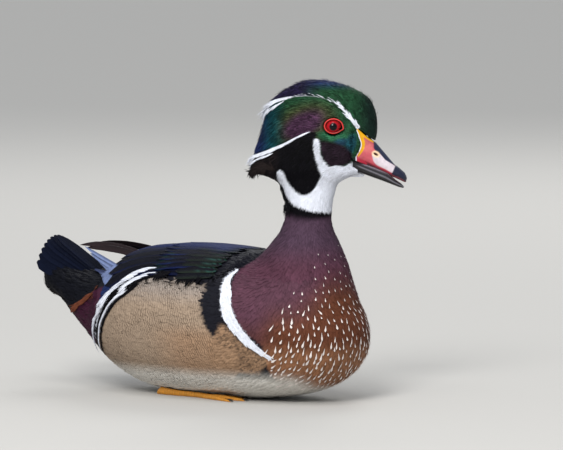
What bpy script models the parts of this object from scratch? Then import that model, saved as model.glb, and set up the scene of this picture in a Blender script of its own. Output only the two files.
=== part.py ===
"""Drake wood duck, life size, afloat pose, resting on its belly with the feet tucked under.

Metres, +Z up, +X towards the breast, +Y the bird's left. The origin is under the middle of its box.
Sizes below are in millimetres and are turned into metres as the vertices are placed.
Body places are measured from the neck's upright axis, head places along the head's own forward line.
"""

import math

import bmesh
import bpy
import numpy as np
from mathutils import Matrix, Vector

MM = 0.001
GAP = 0.3
MERGE = 0.05

HEAD_TURN = math.radians(40)
EYE_FORWARD = 18.5
EYE_HEIGHT = 204.3
EYE_RADIUS = 6.3
EYE_DEPTH = 10.6
LID_LONG = 6.3
LID_TALL = 5.1
LID_THICK = 1.05
LID_OUT = 15.2
LID_RINGS = 18
LID_SIDES = 6
LID_POINT = 0.16

BODY_SIDES = 40
HEAD_SIDES = 20
BILL_SIDES = 16
TAIL_SIDES = 16
SMALL_SIDES = 8
EYE_SIDES = 16
BODY_VOXEL = 3.2
BODY_SMOOTHING = 8
BODY_TRIANGLES = 1800
TRUNK_FULL_SIDE = 0.92
TRUNK_FULL_TOP = 0.94
WING_THICK = 2.6
WING_CLEAR_TOP = 140.0
WING_CLEAR_SIDE = 90.0
WINGTIP_LEAN = math.radians(30)
FLOOR_SINK = 0.9

NECK_BASE_FRONT = (34.0, 92.0)
NECK_BASE_BACK = (-40.0, 113.0)
BREAST_TOP = (-38.0, 112.0)
BREAST_BOTTOM = (-22.0, 0.0)
RUMP_TOP = (-160.0, 110.0)
RUMP_BOTTOM = (-176.0, 20.0)
COLLAR_FRONT = (16.7, 138.8)
COLLAR_BACK = (-16.5, 151.4)
CREST_TOP = (-6.0, 242.0)
CREST_BOTTOM = (-23.0, 160.0)

HEAD_FULL_SIDE = 0.9
CREST_START = -12.0
CREST_LENGTH = 32.0
CREST_NARROWING = 0.4
FACE_START = 26.0
FACE_LENGTH = 26.0
FACE_NARROWING = 0.16

GAPE = (33.0, 180.5)
BILL_PITCH = math.radians(24.4)
BILL_APEX = (36.0, 203.3)
BILL_FOREHEAD = (51.5, 191.3)
BILL_LOBE_BACK = (33.6, 192.3)
BILL_LOBE_FRONT = (44.5, 195.7)
BILL_FULL_SIDE = 0.7
MOUTH_SLACK = 0.25
BILL_FULL_TOP = 0.8
BILL_RIDGE_SLIMMING = 0.38
CLEARANCE = 40.0

TAIL_ROOT = (-182.0, 72.0)
TAIL_PITCH = math.radians(29)
TAIL_ARCH = 0.017

FOOT_JOINT = (-82.0, 31.0)
TARSUS = 34.0
SOLE_FLAT = 0.35
WEB_LOW = 0.55
WEB_THICK = 0.9
WEB_HOLLOW = 0.88
WEB_REACH = 0.86

# Trunk sections: place along X, height of the widest point, rise above it, drop below it, half width.
TRUNK_SECTIONS = (
    (46.0, 49.0, 0.5, 0.5, 0.5),
    (43.5, 49.0, 13.0, 13.0, 16.0),
    (36.0, 48.0, 23.5, 24.5, 30.0),
    (22.0, 50.0, 37.0, 37.0, 43.0),
    (0.0, 53.0, 50.0, 47.5, 54.0),
    (-30.0, 54.0, 54.0, 53.5, 61.5),
    (-60.0, 54.0, 55.5, 54.9, 65.5),
    (-95.0, 54.0, 56.0, 54.9, 66.0),
    (-130.0, 54.0, 54.5, 53.0, 63.0),
    (-160.0, 54.0, 49.0, 44.0, 54.0),
    (-182.0, 57.0, 33.0, 33.0, 43.5),
    (-202.0, 64.0, 24.0, 22.0, 38.0),
    (-222.0, 75.0, 17.0, 13.0, 34.0),
    (-239.0, 81.0, 18.0, 16.0, 28.0),
    (-249.0, 86.0, 15.0, 15.0, 18.0),
    (-254.0, 90.0, 0.5, 0.5, 0.5),
)

# Neck sections: height, middle along X, half length along X, half width.
NECK_SECTIONS = (
    (160.0, 1.0, 14.0, 13.5),
    (148.0, 0.5, 17.5, 17.0),
    (137.0, 0.0, 17.7, 17.2),
    (128.0, -0.5, 20.0, 19.5),
    (119.0, -2.0, 25.5, 25.0),
    (110.0, -4.0, 31.0, 30.5),
    (100.0, -5.0, 35.5, 34.5),
    (88.0, -6.0, 38.0, 41.0),
    (75.0, -6.0, 42.0, 45.0),
    (60.0, -6.0, 46.0, 50.0),
    (48.0, -6.0, 44.0, 48.0),
)

# Head sections: height, rearmost and foremost place, half width.
HEAD_SECTIONS = (
    (239.2, 0.0, 6.0, 0.8),
    (237.2, -7.5, 21.0, 5.5),
    (232.0, -17.5, 35.5, 9.5),
    (225.0, -27.0, 46.0, 12.4),
    (217.0, -31.8, 50.2, 14.6),
    (208.0, -33.4, 51.9, 15.9),
    (198.0, -36.4, 51.5, 16.8),
    (187.0, -40.2, 49.5, 17.5),
    (176.0, -43.2, 45.5, 17.2),
    (170.5, -43.8, 43.0, 16.4),
    (167.0, -32.0, 33.0, 15.8),
    (162.0, -22.3, 22.8, 15.5),
    (155.0, -18.4, 20.6, 15.8),
    (147.0, -17.2, 18.6, 16.6),
    (130.0, -17.6, 17.6, 17.4),
)

# Upper bill sections: place along the bill, height of its ridge over the mouth line, half width.
UPPER_BILL_SECTIONS = (
    (-4.0, 22.0, 11.0),
    (6.0, 19.6, 10.0),
    (12.0, 17.2, 8.7),
    (18.0, 14.4, 7.9),
    (23.0, 12.0, 7.3),
    (30.0, 8.7, 6.9),
    (35.0, 7.4, 6.5),
    (39.5, 6.0, 5.0),
    (42.2, 3.6, 2.6),
    (43.0, 1.6, 0.6),
)

# Lower bill sections: place along the bill, top and bottom against the mouth line, half width.
LOWER_BILL_SECTIONS = (
    (-1.0, -0.8, -7.6, 8.4),
    (8.0, -0.8, -7.6, 7.9),
    (16.0, -0.9, -7.0, 6.9),
    (25.0, -1.3, -6.2, 6.2),
    (34.0, -1.9, -5.6, 5.6),
    (40.0, -2.4, -5.3, 4.2),
    (43.4, -3.2, -4.6, 1.6),
)

# Tail sections: place along the tail, half width, half thickness.
TAIL_SECTIONS = (
    (0.0, 12.0, 2.4),
    (20.0, 19.0, 2.4),
    (42.0, 27.0, 2.0),
    (60.0, 31.5, 1.5),
    (71.0, 29.0, 1.2),
    (77.5, 21.0, 1.0),
    (80.0, 8.0, 0.7),
)

# Lower edge of the folded wing in side view, from shoulder to the tertials' tips.
WING_EDGE = (
    (-38.0, 110.0),
    (-37.0, 99.0),
    (-46.0, 89.0),
    (-72.0, 86.5),
    (-100.0, 88.0),
    (-131.0, 80.0),
    (-148.0, 72.0),
    (-162.0, 60.0),
    (-170.0, 72.0),
    (-176.0, 92.0),
)

# Folded wing tip: place along X, distance from the middle, height, half depth, half thickness.
WINGTIP_SECTIONS = (
    (-152.0, 22.0, 98.0, 9.0, 2.2),
    (-168.0, 19.0, 101.0, 10.0, 2.2),
    (-184.0, 15.0, 104.0, 8.0, 1.9),
    (-200.0, 11.5, 106.0, 5.2, 1.5),
    (-213.0, 9.0, 107.2, 2.6, 1.0),
    (-219.0, 8.0, 107.4, 0.8, 0.6),
)

# Toes: spread in degrees, length, thickness at the root.
TOES = (
    (-17.0, 40.0, 4.0),
    (0.0, 48.0, 4.4),
    (15.0, 45.0, 4.2),
)

# Shank sections: share of its length back from the toes' joint, height, width.
SHANK_SECTIONS = (
    (-0.04, 3.6, 3.6),
    (0.12, 4.4, 4.2),
    (0.5, 4.6, 3.4),
    (0.85, 5.4, 4.4),
    (1.04, 6.2, 5.2),
    (1.14, 3.0, 2.6),
)

COLOURS = {
    "skin_breast": (0.165, 0.060, 0.035),
    "skin_neck": (0.110, 0.042, 0.060),
    "skin_flank": (0.420, 0.330, 0.230),
    "skin_rump": (0.030, 0.012, 0.018),
    "skin_head": (0.020, 0.060, 0.030),
    "skin_crest": (0.020, 0.030, 0.060),
    "plumes_wing": (0.010, 0.014, 0.030),
    "plumes_wingtip": (0.110, 0.150, 0.260),
    "plumes_tail": (0.008, 0.010, 0.016),
    "bill_upper": (0.720, 0.140, 0.130),
    "bill_lower": (0.030, 0.028, 0.032),
    "eye": (0.450, 0.012, 0.015),
    "eyelid": (0.640, 0.075, 0.045),
    "leg": (0.520, 0.300, 0.060),
}


def clear_scene():
    """Removes whatever the file opened with."""
    for thing in list(bpy.data.objects):
        bpy.data.objects.remove(thing, do_unlink=True)


def material(name, roughness=0.6):
    """One Principled material for each kind of surface, made once and shared."""
    made = bpy.data.materials.get(name)
    if made is None:
        made = bpy.data.materials.new(name)
        made.use_nodes = True
        shader = made.node_tree.nodes["Principled BSDF"]
        shader.inputs["Base Color"].default_value = (*COLOURS[name], 1.0)
        shader.inputs["Roughness"].default_value = roughness
        shader.inputs["Metallic"].default_value = 0.0
    return made


def object_from(bm, name, finish=None, helper=False):
    """A scene object that holds the bmesh, its faces turned outwards."""
    bmesh.ops.remove_doubles(bm, verts=bm.verts, dist=MERGE * 0.1 * MM)
    bmesh.ops.recalc_face_normals(bm, faces=bm.faces)
    mesh = bpy.data.meshes.new(name)
    bm.to_mesh(mesh)
    bm.free()
    mesh.shade_smooth()
    made = bpy.data.objects.new(name, mesh)
    bpy.context.scene.collection.objects.link(made)
    if finish:
        mesh.materials.append(material(finish))
    if helper:
        made.hide_render = True
        made.display_type = "WIRE"
    return made


def smooth_rows(rows, between):
    """The rows with more placed between them on a Catmull-Rom curve."""
    table = np.array(rows, float)
    padded = np.vstack([2 * table[0] - table[1], table, 2 * table[-1] - table[-2]])
    out = []
    for i in range(len(table) - 1):
        a, b, c, d = padded[i : i + 4]
        for step in range(between):
            t = step / between
            straight = 2 * b + (c - a) * t
            bend = (2 * a - 5 * b + 4 * c - d) * t**2 + (3 * b - a - 3 * c + d) * t**3
            out.append(0.5 * (straight + bend))
    out.append(table[-1])
    return out


def squared(value, power):
    """Cosine or sine pushed outwards, which turns an ellipse into a fuller section."""
    return math.copysign(abs(value) ** power, value)


def loft(rows, sides, place):
    """Rings bridged one to the next and closed at both ends. place(row, c, s) gives a ring's point in mm."""
    bm = bmesh.new()
    before = None
    ends = []
    for row in rows:
        ring = bmesh.ops.create_circle(bm, segments=sides, radius=1.0)["verts"]
        edges = list(dict.fromkeys(edge for vert in ring for edge in vert.link_edges))
        for vert in ring:
            vert.co = Vector(place(row, vert.co.x, vert.co.y)) * MM
        if before is None:
            ends.append(edges)
        else:
            bmesh.ops.bridge_loops(bm, edges=before + edges)
        before = edges
    ends.append(before)
    for edges in ends:
        cap = bmesh.ops.holes_fill(bm, edges=edges, sides=0)["faces"]
        bmesh.ops.poke(bm, faces=cap)
    return bm


def baked(thing):
    """The object's modifiers made real, so that the next tool starts from a plain mesh."""
    graph = bpy.context.evaluated_depsgraph_get()
    mesh = bpy.data.meshes.new_from_object(thing.evaluated_get(graph))
    thing.modifiers.clear()
    thing.data = mesh
    return thing


def boolean(thing, cutter, operation="DIFFERENCE"):
    """Cuts or joins the two shapes for good, and clears away the slivers that this leaves."""
    step = thing.modifiers.new(operation.lower(), "BOOLEAN")
    step.operation = operation
    step.solver = "EXACT"
    step.object = cutter
    baked(thing)
    tidy = bmesh.new()
    tidy.from_mesh(thing.data)
    bmesh.ops.dissolve_degenerate(tidy, edges=tidy.edges, dist=MERGE * MM)
    bmesh.ops.triangulate(tidy, faces=[face for face in tidy.faces if len(face.verts) > 4])
    tidy.to_mesh(thing.data)
    tidy.free()


def grown(thing, distance, name):
    """A helper copy whose surface lies the given distance further out."""
    bm = bmesh.new()
    bm.from_mesh(thing.data)
    bmesh.ops.remove_doubles(bm, verts=bm.verts, dist=MERGE * MM)
    bm.normal_update()
    shift = [vert.normal * (distance * MM) for vert in bm.verts]
    for vert, step in zip(bm.verts, shift):
        vert.co += step
    return object_from(bm, name, helper=True)


def copy_of(thing, name, finish=None):
    """A second object with the same shape and its own finish."""
    bm = bmesh.new()
    bm.from_mesh(thing.data)
    made = object_from(bm, name)
    made.data.materials.clear()
    if finish:
        made.data.materials.append(material(finish))
    return made


def keep_side(thing, point, normal):
    """Cuts the object by a plane and closes it, keeping the side that the normal points to."""
    bm = bmesh.new()
    bm.from_mesh(thing.data)
    bmesh.ops.remove_doubles(bm, verts=bm.verts, dist=MERGE * 0.1 * MM)
    everything = bm.verts[:] + bm.edges[:] + bm.faces[:]
    cut = bmesh.ops.bisect_plane(
        bm, geom=everything, dist=1e-7, plane_co=Vector(point), plane_no=Vector(normal), clear_inner=True
    )
    rim = [item for item in cut["geom_cut"] if isinstance(item, bmesh.types.BMEdge)]
    bmesh.ops.holes_fill(bm, edges=rim, sides=0)
    bmesh.ops.recalc_face_normals(bm, faces=bm.faces)
    bm.to_mesh(thing.data)
    bm.free()


def split(thing, first, second, name, finish, turn=0.0):
    """Parts the object along a line in side view, with a gap, and gives back what lies to the line's left."""
    along = Vector((second[0] - first[0], 0.0, second[1] - first[1])).normalized()
    across = Vector((0.0, 1.0, 0.0))
    normal = along.cross(across)
    middle = Vector(((first[0] + second[0]) / 2, 0.0, (first[1] + second[1]) / 2)) * MM
    spin = Matrix.Rotation(turn, 3, "Z")
    normal = spin @ normal
    middle = spin @ middle
    other = copy_of(thing, name, finish)
    keep_side(other, middle + normal * (GAP / 2 * MM), normal)
    keep_side(thing, middle - normal * (GAP / 2 * MM), -normal)
    return other


def body_whole():
    """Trunk and neck lofts melted into one smooth body, cut flat under the belly."""

    def trunk_point(row, c, s):
        x, middle, rise, drop, half = row
        reach = rise if s > 0 else drop
        return x, half * squared(c, TRUNK_FULL_SIDE), middle + reach * squared(s, TRUNK_FULL_TOP)

    def neck_point(row, c, s):
        z, middle, length, half = row
        return middle + length * c, half * s, z

    body = object_from(loft(smooth_rows(TRUNK_SECTIONS, 4), BODY_SIDES, trunk_point), "body")
    neck = object_from(loft(smooth_rows(NECK_SECTIONS, 3), BODY_SIDES, neck_point), "neck_form", helper=True)
    boolean(body, neck, "UNION")
    remesh = body.modifiers.new("melt", "REMESH")
    remesh.mode = "VOXEL"
    remesh.voxel_size = BODY_VOXEL * MM
    smooth = body.modifiers.new("settle", "SMOOTH")
    smooth.factor = 0.5
    smooth.iterations = BODY_SMOOTHING
    baked(body)
    thin = body.modifiers.new("thin", "DECIMATE")
    thin.ratio = BODY_TRIANGLES / (2 * len(body.data.polygons))
    thin.use_collapse_triangulate = True
    baked(body)
    bpy.data.objects.remove(neck)
    body.data.materials.append(material("skin_flank"))
    return body


def sit_on_floor(body):
    """Lowers the belly a little under the floor and cuts it flat there."""
    lowest = min(vert.co.z for vert in body.data.vertices)
    body.data.transform(Matrix.Translation((0.0, 0.0, -lowest - FLOOR_SINK * MM)))
    keep_side(body, (0.0, 0.0, 0.0), (0.0, 0.0, 1.0))


def head_whole():
    """Head and crest as one form: flat rings from the crown down to the collar, narrow towards the crest."""

    def head_point(row, c, s):
        z, back, front, half = row
        forward = (back + front) / 2 + (front - back) / 2 * c
        behind = min(max((CREST_START - forward) / CREST_LENGTH, 0.0), 1.0)
        ahead = min(max((forward - FACE_START) / FACE_LENGTH, 0.0), 1.0)
        width = half * (1 - CREST_NARROWING * behind) * (1 - FACE_NARROWING * ahead)
        return forward, width * squared(s, HEAD_FULL_SIDE), z

    return object_from(loft(smooth_rows(HEAD_SECTIONS, 2), HEAD_SIDES, head_point), "head", "skin_head")


def bill_place(along, over):
    """A place along the bill and over its mouth line, as forward and height."""
    forward = GAPE[0] + along * math.cos(BILL_PITCH) + over * math.sin(BILL_PITCH)
    height = GAPE[1] - along * math.sin(BILL_PITCH) + over * math.cos(BILL_PITCH)
    return forward, height


def upper_bill_form():
    """The upper bill with its ridge, run on into the face so that the face can be cut round it."""

    def point(row, c, s):
        along, ridge, half = row
        over = ridge * (0.5 + 0.5 * squared(s, BILL_FULL_TOP))
        slim = 1.0 - BILL_RIDGE_SLIMMING * max(s, 0.0)
        forward, height = bill_place(along, over)
        return forward, half * slim * squared(c, BILL_FULL_SIDE), height

    form = loft(smooth_rows(UPPER_BILL_SECTIONS, 1), BILL_SIDES, point)
    return object_from(form, "bill_upper", "bill_upper")


def lower_bill_form():
    """The lower bill, a flat trough that hangs a little open at the tip."""

    def point(row, c, s):
        along, top, bottom, half = row
        over = (top + bottom) / 2 + (top - bottom) / 2 * squared(s, BILL_FULL_SIDE)
        forward, height = bill_place(along, over)
        return forward, half * squared(c, BILL_FULL_SIDE), height

    form = loft(smooth_rows(LOWER_BILL_SECTIONS, 1), BILL_SIDES, point)
    return object_from(form, "bill_lower", "bill_lower")


def prism(outline, near, far, name):
    """A helper slab with the given side outline, between two distances from the middle."""
    bm = bmesh.new()
    base = bm.faces.new([bm.verts.new(Vector((x, near, z)) * MM) for x, z in outline])
    pushed = bmesh.ops.extrude_face_region(bm, geom=[base])["geom"]
    moved = [item for item in pushed if isinstance(item, bmesh.types.BMVert)]
    bmesh.ops.translate(bm, verts=moved, vec=(0.0, (far - near) * MM, 0.0))
    return object_from(bm, name, helper=True)


def bill_region(margin, name):
    """The side outline of the upper bill: pointed lobe before the eye, forehead edge, gape."""
    clear = BILL_FOREHEAD[0] + CLEARANCE
    mouth_start = bill_place(-MOUTH_SLACK, -MOUTH_SLACK)
    mouth_end = bill_place(CLEARANCE, -MOUTH_SLACK)
    outline = (
        (mouth_start[0] - margin, mouth_start[1] - margin),
        (BILL_LOBE_BACK[0] - margin, BILL_LOBE_BACK[1]),
        (BILL_APEX[0] - margin, BILL_APEX[1] + 2 * margin),
        (BILL_LOBE_FRONT[0] + margin, BILL_LOBE_FRONT[1] + margin),
        (BILL_FOREHEAD[0] + margin, BILL_FOREHEAD[1] + margin),
        (clear, BILL_FOREHEAD[1] + margin),
        (clear, GAPE[1] - CLEARANCE),
        (mouth_end[0] + margin, mouth_end[1] - margin),
    )
    return prism(outline, -CLEARANCE, CLEARANCE, name)


def ball(name, centre, radius, finish):
    """A plain round ball, for an eye."""
    bm = bmesh.new()
    bmesh.ops.create_uvsphere(bm, u_segments=EYE_SIDES, v_segments=EYE_SIDES // 2, radius=radius * MM)
    bmesh.ops.translate(bm, verts=bm.verts, vec=Vector(centre) * MM)
    return object_from(bm, name, finish)


def lid_oval(margin):
    """Places round the eye's oval, drawn out to a point in front, each with its outward direction."""
    places = []
    for step in range(LID_RINGS):
        turn = 2 * math.pi * step / LID_RINGS
        point = 1.0 + LID_POINT * max(math.cos(turn), 0.0) ** 6
        outward = Vector((math.cos(turn), 0.0, math.sin(turn)))
        centre = Vector((LID_LONG * point * outward.x, 0.0, LID_TALL * outward.z))
        places.append((centre + outward * margin, outward))
    return places


def eyelid(name, side):
    """The fleshy ring round the eye."""
    bm = bmesh.new()
    rings = []
    for centre, outward in lid_oval(0.0):
        ring = bmesh.ops.create_circle(bm, segments=LID_SIDES, radius=LID_THICK)["verts"]
        for vert in ring:
            vert.co = (centre + outward * vert.co.x + Vector((0.0, vert.co.y, 0.0))) * MM
        rings.append(list(dict.fromkeys(edge for vert in ring for edge in vert.link_edges)))
    for first, second in zip(rings, rings[1:] + rings[:1]):
        bmesh.ops.bridge_loops(bm, edges=first + second)
    bmesh.ops.translate(bm, verts=bm.verts, vec=Vector((EYE_FORWARD, side * LID_OUT, EYE_HEIGHT)) * MM)
    return object_from(bm, name, "eyelid")


def eye_socket(name, side):
    """The room that the ring and the eye need in the head: a short oval well."""
    outline = [(place.x + EYE_FORWARD, place.z + EYE_HEIGHT) for place, _ in lid_oval(LID_THICK + GAP)]
    near, far = sorted((side * (LID_OUT - 2.0 * LID_THICK), side * (LID_OUT + CLEARANCE)))
    return prism(outline, near, far, name)


def make_head():
    """Head, crest, bill and eyes, modelled facing +X and then turned on the neck."""
    head = head_whole()
    upper = upper_bill_form()
    lower = lower_bill_form()
    region = bill_region(0.0, "bill_region")
    wider = bill_region(GAP, "bill_region_wider")
    face = copy_of(head, "face_form")
    boolean(face, region, "INTERSECT")
    boolean(upper, region, "INTERSECT")
    boolean(upper, face, "UNION")
    boolean(head, wider)
    room = grown(lower, GAP, "lower_room")
    boolean(head, room)
    boolean(upper, room)
    pieces = [head, upper, lower]
    for side, word in ((1, "left"), (-1, "right")):
        eye = ball(f"eye_{word}", (EYE_FORWARD, side * EYE_DEPTH, EYE_HEIGHT), EYE_RADIUS, "eye")
        lid = eyelid(f"eyelid_{word}", side)
        eye_room = grown(eye, GAP, f"eye_room_{word}")
        socket = eye_socket(f"socket_{word}", side)
        boolean(lid, eye_room)
        boolean(head, eye_room)
        boolean(head, socket)
        bpy.data.objects.remove(eye_room)
        bpy.data.objects.remove(socket)
        pieces += [eye, lid]
    for helper in (region, wider, face, room):
        bpy.data.objects.remove(helper)
    below = split(head, COLLAR_FRONT, COLLAR_BACK, "below_collar", "skin_neck")
    bpy.data.objects.remove(below)
    pieces.append(split(head, CREST_BOTTOM, CREST_TOP, "crest", "skin_crest"))
    for piece in pieces:
        piece.data.transform(Matrix.Rotation(HEAD_TURN, 4, "Z"))
    return pieces


def make_tail():
    """The cocked tail, one thin fan whose edges droop."""

    def point(row, c, s):
        along, half, thick = row
        side = half * c
        over = thick * s - TAIL_ARCH * side * side
        x = TAIL_ROOT[0] - along * math.cos(TAIL_PITCH) + over * math.sin(TAIL_PITCH)
        z = TAIL_ROOT[1] + along * math.sin(TAIL_PITCH) + over * math.cos(TAIL_PITCH)
        return x, side, z

    return object_from(loft(smooth_rows(TAIL_SECTIONS, 2), TAIL_SIDES, point), "tail", "plumes_tail")


def make_wing(body, bed, side, word):
    """The folded wing: a shell over the body, cut to the wing's outline in side view."""
    outline = [(x, z) for x, z in smooth_rows(WING_EDGE, 3)]
    outline += [(WING_EDGE[-1][0] + GAP, WING_CLEAR_TOP), (WING_EDGE[0][0], WING_CLEAR_TOP)]
    near, far = sorted((side * GAP / 2, side * WING_CLEAR_SIDE))
    area = prism(outline, near, far, f"wing_area_{word}")
    wing = grown(body, WING_THICK, f"wing_{word}")
    wing.hide_render = False
    wing.display_type = "TEXTURED"
    wing.data.materials.clear()
    wing.data.materials.append(material("plumes_wing"))
    boolean(wing, area, "INTERSECT")
    boolean(wing, bed)
    bpy.data.objects.remove(area)
    return wing


def make_wingtip(side, word):
    """The long flight feathers' tips, a narrow blade that leans against the rump."""

    def point(row, c, s):
        x, out, z, depth, thick = row
        outward = out + thick * c - depth * math.sin(WINGTIP_LEAN) * s
        return x, side * outward, z + depth * math.cos(WINGTIP_LEAN) * s

    rows = smooth_rows(WINGTIP_SECTIONS, 2)
    return object_from(loft(rows, SMALL_SIDES, point), f"wingtip_{word}", "plumes_wingtip")


def toe_form(name, start, heading, length, thick):
    """A toe that swells at its joints and tapers to its claw."""

    def point(row, c, s):
        share, size = row
        half = thick / 2 * size
        along = share * length
        sideways = half * 0.95 * c
        x = start[0] + along * math.cos(heading) - sideways * math.sin(heading)
        y = start[1] + along * math.sin(heading) + sideways * math.cos(heading)
        return x, y, half * (1.0 + s)

    rows = smooth_rows(((0.0, 1.0), (0.25, 0.8), (0.5, 0.86), (0.78, 0.62), (0.9, 0.46), (1.0, 0.12)), 1)
    return object_from(loft(rows, SMALL_SIDES, point), name, "leg")


def make_leg(side, word):
    """The shank lies flat behind the foot, and the webbed toes point forward under the belly."""
    joint = (FOOT_JOINT[0], side * FOOT_JOINT[1])
    toes = [
        toe_form(f"toe_{word}_{i}", joint, side * math.radians(spread), length, thick)
        for i, (spread, length, thick) in enumerate(TOES)
    ]
    foot = toes[1]
    foot.name = f"foot_{word}"
    tips = []
    for spread, length, thick in TOES:
        turn = side * math.radians(spread)
        reach = length * WEB_REACH
        tips.append((joint[0] + reach * math.cos(turn), joint[1] + reach * math.sin(turn)))
    web = bmesh.new()
    corners = [joint, tips[0]]
    for inner, outer in zip(tips, tips[1:]):
        hollow = [(a + b) / 2 * WEB_HOLLOW + c * (1 - WEB_HOLLOW) for a, b, c in zip(inner, outer, joint)]
        corners += [hollow, outer]
    base = web.faces.new([web.verts.new(Vector((x, y, WEB_LOW)) * MM) for x, y in corners])
    pushed = bmesh.ops.extrude_face_region(web, geom=[base])["geom"]
    moved = [item for item in pushed if isinstance(item, bmesh.types.BMVert)]
    bmesh.ops.translate(web, verts=moved, vec=(0.0, 0.0, WEB_THICK * MM))
    sheet = object_from(web, f"web_{word}", helper=True)
    for extra in (toes[0], toes[2], sheet):
        boolean(foot, extra, "UNION")
        bpy.data.objects.remove(extra)

    def shank_point(row, c, s):
        share, tall, wide = row
        return joint[0] - share * TARSUS, joint[1] + wide / 2 * c, tall / 2 * (1.0 + s)

    leg = object_from(loft(smooth_rows(SHANK_SECTIONS, 1), SMALL_SIDES, shank_point), f"leg_{word}", "leg")
    room = grown(foot, GAP, f"foot_room_{word}")
    boolean(leg, room)
    bpy.data.objects.remove(room)
    return foot, leg


def flatten_soles(pieces):
    """Small flats under the toes and shank, lowered to the floor."""
    for piece in pieces:
        keep_side(piece, (0.0, 0.0, SOLE_FLAT * MM), (0.0, 0.0, 1.0))
        piece.data.transform(Matrix.Translation((0.0, 0.0, -SOLE_FLAT * MM)))


def centre_on_origin(pieces):
    """Moves every mesh so that the origin is under the middle of the whole box."""
    points = np.array([vert.co for piece in pieces for vert in piece.data.vertices])
    low = points.min(axis=0)
    high = points.max(axis=0)
    shift = Matrix.Translation((-(low[0] + high[0]) / 2, -(low[1] + high[1]) / 2, 0.0))
    for piece in pieces:
        piece.data.transform(shift)


def main():
    clear_scene()
    body = body_whole()
    sit_on_floor(body)
    bed = grown(body, GAP, "bed")
    tail = make_tail()
    boolean(tail, bed)
    pieces = [body, tail]
    for side, word in ((1, "left"), (-1, "right")):
        wing = make_wing(body, bed, side, word)
        tip = make_wingtip(side, word)
        room = grown(wing, GAP, "wing_room")
        boolean(tip, bed)
        boolean(tip, room)
        bpy.data.objects.remove(room)
        foot, leg = make_leg(side, word)
        flatten_soles((foot, leg))
        for limb in (foot, leg):
            room = grown(limb, GAP, "limb_room")
            boolean(body, room)
            bpy.data.objects.remove(room)
        pieces += [wing, tip, foot, leg]
    bpy.data.objects.remove(bed)
    pieces += make_head()
    above = split(body, COLLAR_BACK, COLLAR_FRONT, "above_collar", "skin_neck", turn=HEAD_TURN)
    bpy.data.objects.remove(above)
    pieces.append(split(body, NECK_BASE_BACK, NECK_BASE_FRONT, "neck", "skin_neck"))
    pieces.append(split(body, BREAST_TOP, BREAST_BOTTOM, "breast", "skin_breast"))
    pieces.append(split(body, RUMP_BOTTOM, RUMP_TOP, "rump", "skin_rump"))
    body.name = "trunk"
    centre_on_origin(pieces)


main()
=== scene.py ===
"""Looks of the wood duck: one skin under a coat of feather vanes, with its bill, eyes, legs and feet."""
import math
import bmesh
import bpy
import numpy as np
from mathutils import Matrix, Vector
from mathutils.bvhtree import BVHTree
from mathutils.kdtree import KDTree


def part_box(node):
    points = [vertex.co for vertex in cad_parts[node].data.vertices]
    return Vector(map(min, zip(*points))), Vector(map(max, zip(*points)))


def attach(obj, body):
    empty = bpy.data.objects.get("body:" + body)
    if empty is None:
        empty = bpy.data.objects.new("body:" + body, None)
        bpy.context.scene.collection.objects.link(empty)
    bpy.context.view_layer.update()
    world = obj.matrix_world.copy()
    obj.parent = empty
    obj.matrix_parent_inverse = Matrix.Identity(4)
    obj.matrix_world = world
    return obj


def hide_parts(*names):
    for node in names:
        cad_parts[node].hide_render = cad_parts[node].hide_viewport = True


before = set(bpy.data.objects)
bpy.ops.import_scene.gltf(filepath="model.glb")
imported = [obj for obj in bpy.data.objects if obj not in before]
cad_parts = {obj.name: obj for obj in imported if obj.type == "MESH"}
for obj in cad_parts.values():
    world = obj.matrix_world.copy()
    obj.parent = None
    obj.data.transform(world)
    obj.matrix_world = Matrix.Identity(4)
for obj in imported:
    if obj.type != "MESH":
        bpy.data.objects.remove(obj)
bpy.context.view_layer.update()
MM = 0.001
rng = np.random.default_rng(7)

# Places are in millimetres from the neck's upright axis.
# Head places are forward, left and up from between the eyes.
HEAD_TURN = math.radians(40)
COS = math.cos(HEAD_TURN)
SIN = math.sin(HEAD_TURN)
EYE_FORWARD = 18.5
EYE_MIDDLE = sum(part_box("eye_left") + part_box("eye_right"), Vector()) / 4 / MM
NECK = np.array([EYE_MIDDLE.x - EYE_FORWARD * COS, EYE_MIDDLE.y - EYE_FORWARD * SIN, 0.0])
EYE_HEIGHT = EYE_MIDDLE.z

FLESH = ("head", "crest", "neck", "breast", "trunk", "rump")
WINGS = ("wing_left", "wing_right")
SKIN_VOXEL = 1.5
SKIN_SMOOTHING = 6
COAT_THIN = 1
SIDES = ((1, "left"), (-1, "right"))
HEAD_FROM = 140  # the height from which the skin's plan counts as head
HEAD_SHIFT = 1.02  # how far the head's plan lies beside the body's
OUTSIDE = 60.0  # a place well beside the head, where rays start


def shade(red, green, blue):
    """A judged screen colour, as the linear colour that a shader takes."""
    value = np.array([red, green, blue]) / 255
    return np.where(value <= 0.04045, value / 12.92, ((value + 0.055) / 1.055) ** 2.4)


def ease(value, start, end):
    """0 at start, 1 at end, smooth between; start may be the larger."""
    share = np.clip((value - start) / (end - start), 0, 1)
    return share * share * (3 - 2 * share)


def unit(vectors):
    return vectors / np.maximum(np.linalg.norm(vectors, axis=-1, keepdims=True), 1e-9)


def dot(a, b):
    return (a * b).sum(-1, keepdims=True)


def curve(points, between=4):
    """A smooth line through the points."""
    rows = np.array(points, float)
    ends = np.vstack([2 * rows[0] - rows[1], rows, 2 * rows[-1] - rows[-2]])
    share = np.linspace(0, 1, between, endpoint=False)[:, None]
    made = []
    for a, b, c, d in zip(ends, ends[1:], ends[2:], ends[3:]):
        bend = 2 * a - 5 * b + 4 * c - d + share * (3 * b - a - 3 * c + d)
        made.append(b + 0.5 * share * (c - a + share * bend))
    return np.vstack(made + [rows[-1:]])


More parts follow.
